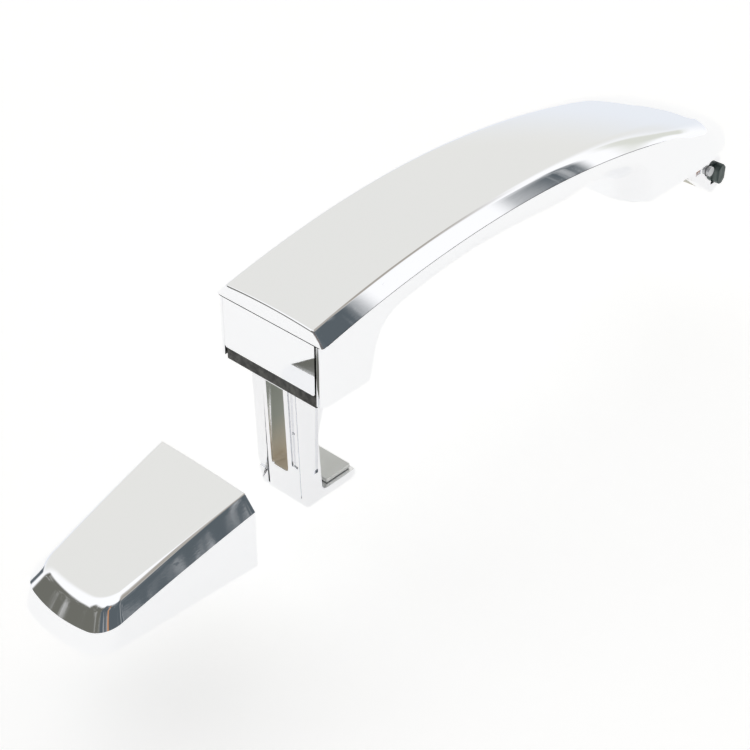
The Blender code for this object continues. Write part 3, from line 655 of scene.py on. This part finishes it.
def build_cap(material):
    shell = Shell()
    outer = [shell.row(points) for points in cap_chain(0.0, 0.0)]
    inner = [shell.row(points) for points in cap_chain(WALL, -WALL)]
    for chain in (outer, inner):
        for a, b in zip(chain, chain[1:]):
            shell.strip(a, b)
        shell.fill(chain[0][::-1] + chain[-1])
    shell.strip([row[0] for row in outer], [row[0] for row in inner])
    shell.fill((outer[0][0], outer[-1][0], inner[-1][0], inner[0][0]))
    cap = shell.piece("cap_skin")
    soften_end(cap, CAP_ORIGIN.x)
    smooth(cap, 28)
    return dress(cap, "end_cap", material, "chrome_plate", "cap_shell")


def soften_end(piece, at_x):
    """Round the outer edges of the flat end at at_x."""
    solid = bmesh.new()
    solid.from_mesh(piece.data)
    edges = [e for e in solid.edges
             if all(abs(v.co.x - at_x) < 1e-6 for v in e.verts) and e.calc_face_angle(0.0) > 0.5]
    bmesh.ops.bevel(solid, geom=edges, offset=0.28 * MM, segments=3, profile=0.5, affect="EDGES",
                    clamp_overlap=True)
    solid.to_mesh(piece.data)
    solid.free()


# ---- latch leg ------------------------------------------------------------------------------------
def leg_rear_x(z):
    return LEG_LOW.x + LEG_SLOPE * min(max(z / LEG_LOW.z, 0.0), 1.0)


def slanted(name, y0, y1, z0, z1, depth, cut_in=1.0 * MM):
    """A cutter that takes depth off the leg's sloping rear face."""
    outline = [(leg_rear_x(z0) - cut_in, z0), (leg_rear_x(z1) - cut_in, z1),
               (leg_rear_x(z1) + depth, z1), (leg_rear_x(z0) + depth, z0)]
    return prism(name, [outline], "XZ", y0, y1)


def leg_outline():
    """The leg and its hook plate from the side: down the rear, along the hook, up the front."""
    bottom, hook_top, hook_end = LEG_LOW.z, HOOK_TOP, LEG_HIGH.x
    rear_low = LEG_LOW.x + LEG_SLOPE
    step_z = (-12.0 * MM, -17.5 * MM)
    side = [(LEG_LOW.x, LEG_HIGH.z)]
    side += bend((leg_rear_x(bottom + 2.0 * MM), bottom + 2.0 * MM), (rear_low, bottom),
                 (rear_low + 2.0 * MM, bottom), 5)
    side += [(hook_end - 1.0 * MM, bottom), (hook_end, bottom + 0.8 * MM), (hook_end, hook_top)]
    side += bend((rear_low + 8.6 * MM, hook_top), (rear_low + 6.2 * MM, hook_top),
                 (rear_low + 6.2 * MM, hook_top + 2.4 * MM), 6)
    side += bend((leg_rear_x(step_z[1]) + 6.2 * MM, step_z[1] - 1.5 * MM),
                 (leg_rear_x(step_z[1]) + 6.6 * MM, step_z[1] + 2.0 * MM),
                 (leg_rear_x(step_z[0]) + 8.4 * MM, step_z[0] + 1.0 * MM), 6)
    return side + [(LEG_LOW.x + 8.4 * MM, 0.0), (LEG_LOW.x + 8.4 * MM, LEG_HIGH.z)]


def slot_outline():
    slot_y = (LEG_MIDDLE - SLOT_HALF, LEG_MIDDLE + SLOT_HALF)
    low, high, turn = SLOT_Z[0], SLOT_Z[1], 1.2 * MM
    slot = bend((slot_y[1], low + turn), (slot_y[1], low), (slot_y[1] - turn, low), 3)
    slot += bend((slot_y[0] + turn, low), (slot_y[0], low), (slot_y[0], low + turn), 3)
    return slot + [(slot_y[0], high), (slot_y[1], high)]


def leg_cutters():
    """The leg's slot, its chamfer, and the shallow panels and grooves in its rear face and side."""
    bottom, chamfer_top = LEG_LOW.z, -31.0 * MM
    chamfer = [(LEG_HIGH_Y - 2.2 * MM, bottom - OVER), (LEG_HIGH_Y + OVER, bottom - OVER),
               (LEG_HIGH_Y + OVER, chamfer_top), (LEG_HIGH_Y, chamfer_top)]
    tools = [
        prism("leg_chamfer", [chamfer], "YZ", -OVER, 30.0 * MM),
        prism("leg_slot", [slot_outline()], "YZ", -OVER, 20.0 * MM),
    ]
    for name, low_y, high_y, low_z, depth in (
            ("left_panel", LEG_MIDDLE + 4.75 * MM, LEG_HIGH_Y + OVER, -33.5 * MM, 0.55 * MM),
            ("left_groove", LEG_MIDDLE + 4.2 * MM, LEG_MIDDLE + 4.75 * MM, -37.5 * MM, 1.2 * MM),
            ("right_groove", LEG_MIDDLE - 5.1 * MM, LEG_MIDDLE - 4.5 * MM, -27.0 * MM, 0.8 * MM),
            ("right_panel", LEG_MIDDLE - 6.7 * MM, LEG_MIDDLE - 5.4 * MM, -27.0 * MM, 0.45 * MM),
            ("edge_groove", LEG_MIDDLE - 7.5 * MM, LEG_MIDDLE - 7.15 * MM, -36.5 * MM, 0.3 * MM)):
        tools.append(slanted(name, low_y, high_y, low_z, LEG_CUT_TOP, depth))
    pip_y, pip_z = LEG_MIDDLE - 5.6 * MM, -16.0 * MM
    tools.append(rod("pip", 0.35 * MM, (0.0, pip_y, pip_z), (leg_rear_x(pip_z) + 1.4 * MM, pip_y, pip_z), 16))
    pocket_z = (-30.0 * MM, -3.0 * MM)
    side_pocket = [(8.0 * MM, pocket_z[0]), (9.6 * MM, pocket_z[0]),
                   (10.0 * MM, pocket_z[1]), (7.0 * MM, pocket_z[1])]
    tools.append(prism("side_pocket", [side_pocket], "XZ", LEG_LOW_Y - OVER, LEG_LOW_Y + 0.5 * MM))
    return tools


def build_leg(material):
    leg = prism("leg_skin", [leg_outline()], "XZ", LEG_LOW_Y, LEG_HIGH_Y)
    combine(leg, "DIFFERENCE", leg_cutters())
    soften(leg, 0.22 * MM, 2)
    plate = block("leg_flange", (LEG_LOW.x, LEG_LOW.y, 6.9 * MM), (14.0 * MM, LEG_HIGH.y, LEG_HIGH.z))
    holes = [rod("flange_hole", SCREW_HOLE, (x, y, 5.0 * MM), (x, y, 10.0 * MM))
             for x, y in screw_places("cover_screw_rear_left", "cover_screw_rear_right")]
    combine(plate, "DIFFERENCE", holes)
    combine(leg, "UNION", [plate])
    smooth(leg, 35)
    return dress(leg, "pull_handle", material, "chrome_casting", "latch_leg")


# ---- pivot arm and bumper -----------------------------------------------------------------------
def build_arm(material):
    side = [(158.0, 6.4), (158.0, -3.5), (167.0, -7.0), (176.5, -12.0), (184.0, -17.2), (190.6, -22.4),
            (191.8, -23.2), (193.0, -23.4), (194.4, -23.0), (195.2, -22.0), (195.2, -12.0), (193.5, -10.4),
            (191.0, -9.4), (184.0, -6.0), (174.5, -3.2), (172.0, -1.0), (172.0, 6.4)]
    side = [(x * MM, z * MM) for x, z in side]
    arm = prism("arm_skin", [side], "XZ", -6.0 * MM, 6.0 * MM)
    pin_low, pin_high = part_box("pivot_pin")
    pin = (pin_low + pin_high) / 2
    foot_holes = [rod("arm_hole", SCREW_HOLE, (x, y, 3.0 * MM), (x, y, 8.0 * MM))
                  for x, y in screw_places("arm_screw")]
    room, cut_y, past_end = 0.3 * MM, 10.0 * MM, 200.0 * MM
    notch = block("bumper_notch", (BUMPER_LOW.x - room, -cut_y, BUMPER_LOW.z - room),
                  (past_end, cut_y, BUMPER_HIGH.z + room))
    window = block("window", (181.2 * MM, -6.5 * MM, -13.4 * MM), (184.0 * MM, -5.0 * MM, -10.6 * MM))
    bore = rod("pin_bore", 1.9 * MM, (pin.x, -cut_y, pin.z), (pin.x, cut_y, pin.z))
    combine(arm, "DIFFERENCE", [bore, notch, window])
    soften(arm, 0.5 * MM, 3)
    foot = block("arm_foot", (147.0 * MM, -9.0 * MM, 4.4 * MM), (167.6 * MM, 9.0 * MM, 6.4 * MM))
    combine(foot, "DIFFERENCE", foot_holes)
    combine(arm, "UNION", [foot])
    smooth(arm, 35)
    return dress(arm, "pull_handle", material, "chrome_casting", "pivot_arm")


def build_bumper(material):
    low, high, cut = BUMPER_LOW, BUMPER_HIGH, 1.3 * MM
    outline = [(low.x, low.z + cut), (low.x + cut, low.z), (high.x - cut, low.z), (high.x, low.z + cut),
               (high.x, high.z - cut), (high.x - cut, high.z), (low.x + cut, high.z), (low.x, high.z - cut)]
    bumper = prism("bumper_block", [outline], "XZ", low.y, high.y)
    soften(bumper, 0.45 * MM, 3, 30)
    smooth(bumper, 40)
    return dress(bumper, "pull_handle", material, "bumper_rubber", "pivot_bumper")


# ---- pads on the door ---------------------------------------------------------------------------
def build_rear_pad(material):
    low, high = SEAL_LOW, SEAL_HIGH
    pad = block("rear_pad", low, high)
    room = 1.6 * MM
    window = block("window", (1.3 * MM, LEG_LOW_Y - room, -OVER), (14.2 * MM, LEG_HIGH_Y + room, 5.0 * MM))
    combine(pad, "DIFFERENCE", [window])
    soften(pad, 0.25 * MM, 2)
    smooth(pad, 40)
    return dress(pad, "door_pads", material, "seal_rubber", "rear_seal")


def foot_outline(inset):
    """Plan outline of the front foot, drawn in by inset."""
    inner, corner = FRONT_FOOT + inset, 7.0 * MM - inset
    side = [(inner, 0.0)] + arc((inner + corner, HALF - inset - corner), corner, 180, 90, 10)
    side += nose_side(30, inset)
    return side + [(x, -y) for x, y in reversed(side[1:-1])]


def build_front_pad(material):
    """A thin rubber ring, set far enough in for the rim to hide it from above."""
    rings = [foot_outline(inset) for inset in (3.4 * MM, 4.4 * MM)]
    pad = prism("front_pad", rings, "XY", 0.0, FRONT_PAD_TOP)
    smooth(pad, 40)
    return dress(pad, "door_pads", material, "seal_rubber", "front_seal")


# ---- materials ------------------------------------------------------------------------------------
class Surface:
    """A Principled material with procedural detail in the object's own coordinates."""

    def __init__(self, name, colour, metallic, roughness):
        self.material = bpy.data.materials.new(name)
        self.material.use_nodes = True
        self.tree = self.material.node_tree
        self.shader = self.tree.nodes["Principled BSDF"]
        self.shader.inputs["Base Color"].default_value = (*colour, 1.0)
        self.shader.inputs["Metallic"].default_value = metallic
        self.shader.inputs["Roughness"].default_value = roughness
        self.place = self.tree.nodes.new("ShaderNodeTexCoord").outputs["Object"]
        self.bump = None

    def stretch(self, scale):
        node = self.tree.nodes.new("ShaderNodeMapping")
        node.inputs["Scale"].default_value = scale
        self.tree.links.new(self.place, node.inputs["Vector"])
        return node.outputs["Vector"]

    def noise(self, scale, detail=3.0, roughness=0.5, stretch=None):
        node = self.tree.nodes.new("ShaderNodeTexNoise")
        node.inputs["Scale"].default_value = scale
        node.inputs["Detail"].default_value = detail
        node.inputs["Roughness"].default_value = roughness
        self.tree.links.new(self.stretch(stretch) if stretch else self.place, node.inputs["Vector"])
        return node.outputs["Fac"]

    def spread(self, value, low, high, to_low, to_high):
        node = self.tree.nodes.new("ShaderNodeMapRange")
        node.inputs["From Min"].default_value = low
        node.inputs["From Max"].default_value = high
        node.inputs["To Min"].default_value = to_low
        node.inputs["To Max"].default_value = to_high
        self.tree.links.new(value, node.inputs["Value"])
        return node.outputs["Result"]

    def combine(self, operation, a, b):
        node = self.tree.nodes.new("ShaderNodeMath")
        node.operation = operation
        self.tree.links.new(a, node.inputs[0])
        self.tree.links.new(b, node.inputs[1])
        return node.outputs["Value"]

    def axis(self, letter):
        """One coordinate of the place on the object."""
        node = self.tree.nodes.new("ShaderNodeSeparateXYZ")
        self.tree.links.new(self.place, node.inputs["Vector"])
        return node.outputs[letter]

    def inside_slot(self):
        """1 on the walls of the leg's slot, 0 elsewhere."""
        low_y, high_y = LEG_MIDDLE - SLOT_HALF, LEG_MIDDLE + SLOT_HALF
        edge = 0.05 * MM
        mask = self.spread(self.axis("X"), LEG_LOW.x + 1.9 * MM, LEG_LOW.x + 2.2 * MM, 0.0, 1.0)
        for letter, low, high in (("Y", low_y, high_y), ("Z", *SLOT_Z)):
            value = self.axis(letter)
            above = self.spread(value, low - 2 * edge, low - edge, 0.0, 1.0)
            mask = self.combine("MULTIPLY", mask, above)
            below = self.spread(value, high + edge, high + 2 * edge, 1.0, 0.0)
            mask = self.combine("MULTIPLY", mask, below)
        return mask

    def mix(self, value, low_colour, high_colour):
        """Blend two colours, each given as three numbers or as another node's output."""
        node = self.tree.nodes.new("ShaderNodeMix")
        node.data_type = "RGBA"
        colours = [socket for socket in node.inputs if socket.type == "RGBA"]
        for socket, colour in zip(colours, (low_colour, high_colour)):
            if isinstance(colour, tuple):
                socket.default_value = (*colour, 1.0)
            else:
                self.tree.links.new(colour, socket)
        self.tree.links.new(value, node.inputs["Factor"])
        return [socket for socket in node.outputs if socket.type == "RGBA"][0]

    def paint(self, colour):
        self.tree.links.new(colour, self.shader.inputs["Base Color"])

    def tint(self, value, low_colour, high_colour):
        self.paint(self.mix(value, low_colour, high_colour))

    def roughen(self, value):
        self.tree.links.new(value, self.shader.inputs["Roughness"])

    def raise_by(self, value, distance, strength=1.0):
        node = self.tree.nodes.new("ShaderNodeBump")
        node.inputs["Strength"].default_value = strength
        node.inputs["Distance"].default_value = distance
        self.tree.links.new(value, node.inputs["Height"])
        if self.bump is not None:
            self.tree.links.new(self.bump, node.inputs["Normal"])
        self.bump = node.outputs["Normal"]
        self.tree.links.new(self.bump, self.shader.inputs["Normal"])


def chrome_plate():
    """Mirror chrome: a trace of orange peel, handling smears and hair-fine scratches."""
    surface = Surface("chrome_plate_mirror", (0.93, 0.935, 0.94), 1.0, 0.03)
    smears = surface.spread(surface.noise(45.0, 4.0, 0.6), 0.45, 0.75, 0.015, 0.05)
    specks = surface.spread(surface.noise(900.0, 2.0, 0.5), 0.68, 0.80, 0.0, 0.10)
    surface.roughen(surface.combine("ADD", smears, specks))
    surface.tint(surface.noise(14.0, 2.0), (0.915, 0.925, 0.945), (0.935, 0.94, 0.95))
    surface.raise_by(surface.noise(55.0, 1.0), 0.000012)
    surface.raise_by(surface.noise(420.0, 3.0, 0.6, (1.0, 6.0, 6.0)), 0.0000012)
    return surface.material


def chrome_casting():
    """Chrome over an as-cast surface, whose ripple shows; the walls of the leg's slot are dull and not
    metallic, and carry painted shade and reflection: tan at the slot's foot, grey-green higher up.
    """
    surface = Surface("chrome_over_casting", (0.88, 0.885, 0.90), 1.0, 0.12)
    plated = surface.spread(surface.noise(260.0, 4.0, 0.6), 0.3, 0.75, 0.05, 0.20)
    slot = surface.inside_slot()
    surface.roughen(surface.combine("MAXIMUM", plated, surface.spread(slot, 0.0, 1.0, 0.0, 0.5)))
    plate = surface.mix(surface.noise(60.0, 3.0), (0.84, 0.85, 0.87), (0.91, 0.91, 0.92))
    # painted shade and reflection on the slot's walls, tan at the slot's foot turning grey-green higher up
    along = surface.spread(surface.axis("Z"), SLOT_Z[0], SLOT_Z[0] + 14.0 * MM, 0.0, 1.0)
    slot_painted_shade = surface.mix(along, (0.62, 0.54, 0.42), (0.36, 0.38, 0.33))
    surface.paint(surface.mix(slot, plate, slot_painted_shade))
    surface.tree.links.new(surface.spread(slot, 0.0, 1.0, 1.0, 0.1), surface.shader.inputs["Metallic"])
    surface.raise_by(surface.noise(160.0, 3.0), 0.00003)
    surface.raise_by(surface.noise(1500.0, 2.0), 0.000006)
    return surface.material


def zinc_steel():
    surface = Surface("zinc_steel", (0.52, 0.53, 0.55), 1.0, 0.35)
    surface.roughen(surface.spread(surface.noise(500.0, 4.0, 0.6), 0.3, 0.7, 0.22, 0.48))
    surface.tint(surface.noise(180.0, 3.0), (0.44, 0.46, 0.50), (0.60, 0.60, 0.58))
    surface.raise_by(surface.noise(1400.0, 3.0, 0.6, (1.0, 1.0, 5.0)), 0.000008)
    return surface.material


def turned_brass():
    surface = Surface("turned_brass", (0.72, 0.53, 0.26), 1.0, 0.3)
    surface.roughen(surface.spread(surface.noise(600.0, 3.0), 0.3, 0.7, 0.2, 0.42))
    surface.tint(surface.noise(220.0, 3.0), (0.62, 0.44, 0.20), (0.78, 0.60, 0.32))
    surface.raise_by(surface.noise(900.0, 2.0, 0.5, (1.0, 1.0, 8.0)), 0.00001)
    return surface.material


def seal_rubber():
    """Dark grey moulded rubber with a dusty bloom and a fine grain."""
    surface = Surface("seal_rubber_grey", (0.055, 0.055, 0.052), 0.0, 0.8)
    surface.roughen(surface.spread(surface.noise(300.0, 4.0), 0.3, 0.7, 0.62, 0.92))
    dust = surface.spread(surface.noise(420.0, 5.0, 0.65), 0.42, 0.72, 0.0, 1.0)
    surface.tint(dust, (0.045, 0.045, 0.043), (0.14, 0.14, 0.13))
    surface.raise_by(surface.noise(1800.0, 3.0), 0.00006)
    return surface.material


def bumper_rubber():
    """Green-black rubber, smooth from the mould, with paler upright streaks that are a painted highlight."""
    surface = Surface("bumper_rubber_green", (0.03, 0.05, 0.045), 0.0, 0.42)
    surface.roughen(surface.spread(surface.noise(350.0, 3.0), 0.3, 0.7, 0.3, 0.55))
    # painted highlight: paler streaks drawn out upright, standing in for the light on the block's facets
    surface.tint(surface.spread(surface.noise(240.0, 2.0, 0.5, (1.0, 2.5, 0.4)), 0.5, 0.68, 0.0, 1.0),
                 (0.022, 0.042, 0.038), (0.12, 0.15, 0.14))
    surface.raise_by(surface.noise(900.0, 3.0), 0.00004)
    return surface.material


def moulded_plastic(name, dark, light):
    surface = Surface(name, light, 0.0, 0.42)
    surface.roughen(surface.spread(surface.noise(500.0, 3.0), 0.3, 0.7, 0.34, 0.55))
    surface.tint(surface.noise(120.0, 3.0), dark, light)
    surface.raise_by(surface.noise(1600.0, 3.0), 0.00002)
    return surface.material


def pale_floor():
    surface = Surface("pale_floor", (0.93, 0.93, 0.93), 0.0, 0.9)
    surface.shader.inputs["Specular IOR Level"].default_value = 0.0
    surface.shader.inputs["Emission Color"].default_value = (1.0, 1.0, 1.0, 1.0)
    surface.shader.inputs["Emission Strength"].default_value = 0.40
    surface.tint(surface.noise(6.0, 2.0), (0.92, 0.92, 0.92), (0.94, 0.94, 0.94))
    return surface.material


def dress_frame_nodes(materials):
    """The inner parts keep their CAD meshes and get full materials."""
    for name, material in materials.items():
        NODES[name].data.materials.clear()
        NODES[name].data.materials.append(material)


# ---- studio ---------------------------------------------------------------------------------------
class Sky:
    """A white light tent painted by direction, with darker openings in it."""

    def __init__(self):
        world = bpy.data.worlds.new("light_tent")
        bpy.context.scene.world = world
        world.use_nodes = True
        self.tree = world.node_tree
        self.background = self.tree.nodes["Background"]
        direction = self.tree.nodes.new("ShaderNodeTexCoord").outputs["Generated"]
        split = self.tree.nodes.new("ShaderNodeSeparateXYZ")
        self.tree.links.new(direction, split.inputs["Vector"])
        self.direction = direction
        turn = self.math("ARCTAN2", split.outputs["Y"], split.outputs["X"])
        self.azimuth = self.math("MULTIPLY", turn, 180.0 / math.pi)
        rise = self.math("ARCSINE", split.outputs["Z"])
        self.elevation = self.math("MULTIPLY", rise, 180.0 / math.pi)
        self.colour = None

    def math(self, operation, a, b=None):
        node = self.tree.nodes.new("ShaderNodeMath")
        node.operation = operation
        for socket, value in zip(node.inputs, (a, b)):
            if value is None:
                continue
            if isinstance(value, float):
                socket.default_value = value
            else:
                self.tree.links.new(value, socket)
        return node.outputs["Value"]

    def ramp(self, value, low, high):
        node = self.tree.nodes.new("ShaderNodeMapRange")
        node.interpolation_type = "SMOOTHSTEP"
        node.inputs["From Min"].default_value = low
        node.inputs["From Max"].default_value = high
        self.tree.links.new(value, node.inputs["Value"])
        return node.outputs["Result"]

    def window(self, azimuth, elevation, soft):
        """1 inside a patch of the sky, 0 outside, with soft edges; angles in degrees."""
        mask = None
        for value, (low, high) in ((self.azimuth, azimuth), (self.elevation, elevation)):
            rise = self.ramp(value, low - soft, low + soft)
            fall = self.ramp(value, high + soft, high - soft)
            both = self.math("MULTIPLY", rise, fall)
            mask = both if mask is None else self.math("MULTIPLY", mask, both)
        return mask

    def paint(self, mask, colour, mottle=None):
        """Lay a colour over the tent where mask is 1; mottle breaks it up with paler flecks."""
        if mottle:
            noise = self.tree.nodes.new("ShaderNodeTexNoise")
            noise.inputs["Scale"].default_value = mottle
            noise.inputs["Detail"].default_value = 6.0
            noise.inputs["Roughness"].default_value = 0.62
            self.tree.links.new(self.direction, noise.inputs["Vector"])
            flecks = self.ramp(noise.outputs["Fac"], 0.5, 0.78)
            kept = self.math("SUBTRACT", 1.0, self.math("MULTIPLY", flecks, 0.5))
            mask = self.math("MULTIPLY", mask, kept)
        node = self.tree.nodes.new("ShaderNodeMix")
        node.data_type = "RGBA"
        node.inputs["B"].default_value = (*colour, 1.0)
        if self.colour is None:
            node.inputs["A"].default_value = (*TENT_WHITE, 1.0)
        else:
            self.tree.links.new(self.colour, node.inputs["A"])
        self.tree.links.new(mask, node.inputs["Factor"])
        self.colour = node.outputs["Result"]

    def light(self):
        self.tree.links.new(self.colour, self.background.inputs["Color"])


TENT_WHITE = (1.06, 1.06, 1.07)       # the tent itself, then the patches painted over it
SOFTBOX_GREY = (0.835, 0.83, 0.80)
COOL_GREY = (0.86, 0.89, 0.94)
ROOM_DARK = (0.105, 0.125, 0.14)
ROOM_BROWN = (0.16, 0.16, 0.14)
DUSK_BROWN = (0.40, 0.37, 0.33)
COPPER = (0.62, 0.30, 0.14)
WARM_GREY = (0.75, 0.76, 0.70)


FLOOR_Z = -75.0 * MM
FLOOR_HALF = 3.0                      # metres

# Azimuth and elevation of each patch in degrees, softness of its edge, colour, and its mottle.
SKY_PATCHES = (
    ((8.0, 105.0), (-12.0, 22.0), 10.0, COOL_GREY, None),
    ((14.0, 112.0), (12.0, 86.0), 9.0, SOFTBOX_GREY, None),
    ((-110.0, 16.0), (48.0, 84.0), 9.0, DUSK_BROWN, 9.0),
    ((-100.0, -58.0), (14.0, 50.0), 2.5, ROOM_DARK, 26.0),
    ((-32.0, -12.0), (29.5, 35.5), 2.5, ROOM_DARK, 14.0),
    ((-3.0, 8.5), (10.0, 28.0), 3.0, WARM_GREY, None),
    ((100.0, 110.0), (-14.0, 6.0), 2.5, ROOM_DARK, 9.0),
    ((119.0, 190.0), (6.0, 31.0), 3.0, ROOM_BROWN, 9.0),
    ((150.0, 190.0), (20.0, 50.0), 4.0, ROOM_BROWN, 9.0),
    ((-190.0, -168.0), (6.0, 52.0), 4.0, ROOM_BROWN, 9.0),
    ((-174.0, -100.0), (12.0, 58.0), 3.0, ROOM_DARK, 7.0),
    ((-152.0, -148.0), (16.0, 56.0), 1.5, COPPER, None),
)


def build_studio():
    sky = Sky()
    for azimuth, elevation, soft, colour, mottle in SKY_PATCHES:
        sky.paint(sky.window(azimuth, elevation, soft), colour, mottle)
    sky.light()

    corners = [(-FLOOR_HALF, -FLOOR_HALF), (FLOOR_HALF, -FLOOR_HALF),
               (FLOOR_HALF, FLOOR_HALF), (-FLOOR_HALF, FLOOR_HALF)]
    floor = prism("floor", [corners], "XY", FLOOR_Z - 10.0 * MM, FLOOR_Z)
    floor.data.materials.append(pale_floor())


CAMERA_PLACE = (-219.5 * MM, -231.4 * MM, 232.8 * MM)
CAMERA_AZIMUTH = -48.08
CAMERA_ELEVATION = 35.87
CAMERA_ROLL = 0.68
CAMERA_LENS = 77.6


def build_camera():
    azimuth, elevation, roll = (math.radians(a) for a in (CAMERA_AZIMUTH, CAMERA_ELEVATION, CAMERA_ROLL))
    back = Vector((math.sin(azimuth) * math.cos(elevation), -math.cos(azimuth) * math.cos(elevation),
                   math.sin(elevation)))
    right = Vector((math.cos(azimuth), math.sin(azimuth), 0.0))
    up = back.cross(right)
    turned_right = right * math.cos(roll) + up * math.sin(roll)
    turned_up = up * math.cos(roll) - right * math.sin(roll)
    camera = bpy.data.objects.new("camera", bpy.data.cameras.new("camera"))
    bpy.context.scene.collection.objects.link(camera)
    camera.data.sensor_width = 36.0
    camera.data.lens = CAMERA_LENS
    camera.data.clip_start = 0.01
    camera.data.clip_end = 20.0
    turn = Matrix((turned_right, turned_up, back)).transposed()
    camera.matrix_world = Matrix.Translation(CAMERA_PLACE) @ turn.to_4x4()
    bpy.context.scene.camera = camera


# ---- the whole scene --------------------------------------------------------------------------------
def build():
    bpy.context.scene.view_settings.view_transform = "Standard"
    build_camera()
    build_studio()
    plate, casting = chrome_plate(), chrome_casting()
    steel, rubber = zinc_steel(), seal_rubber()
    white = moulded_plastic("white_slide_plastic", (0.72, 0.73, 0.69), (0.84, 0.85, 0.82))
    black = moulded_plastic("black_moulded_plastic", (0.018, 0.018, 0.018), (0.045, 0.045, 0.045))
    build_cover(plate)
    build_backing(plate)
    build_cap(plate)
    build_leg(casting)
    build_arm(casting)
    build_bumper(bumper_rubber())
    build_rear_pad(rubber)
    build_front_pad(rubber)
    dress_frame_nodes({
        "grip_stiffener": steel, "hook_liner": white, "pivot_pin": steel,
        "cover_screw_rear_left": steel, "cover_screw_rear_right": steel, "cover_screw_front": steel,
        "arm_screw": steel, "cap_carrier": black, "cap_insert": turned_brass(),
        "cap_screw": steel, "cap_gasket": rubber, "cap_clip_left": steel, "cap_clip_right": steel,
    })


build()
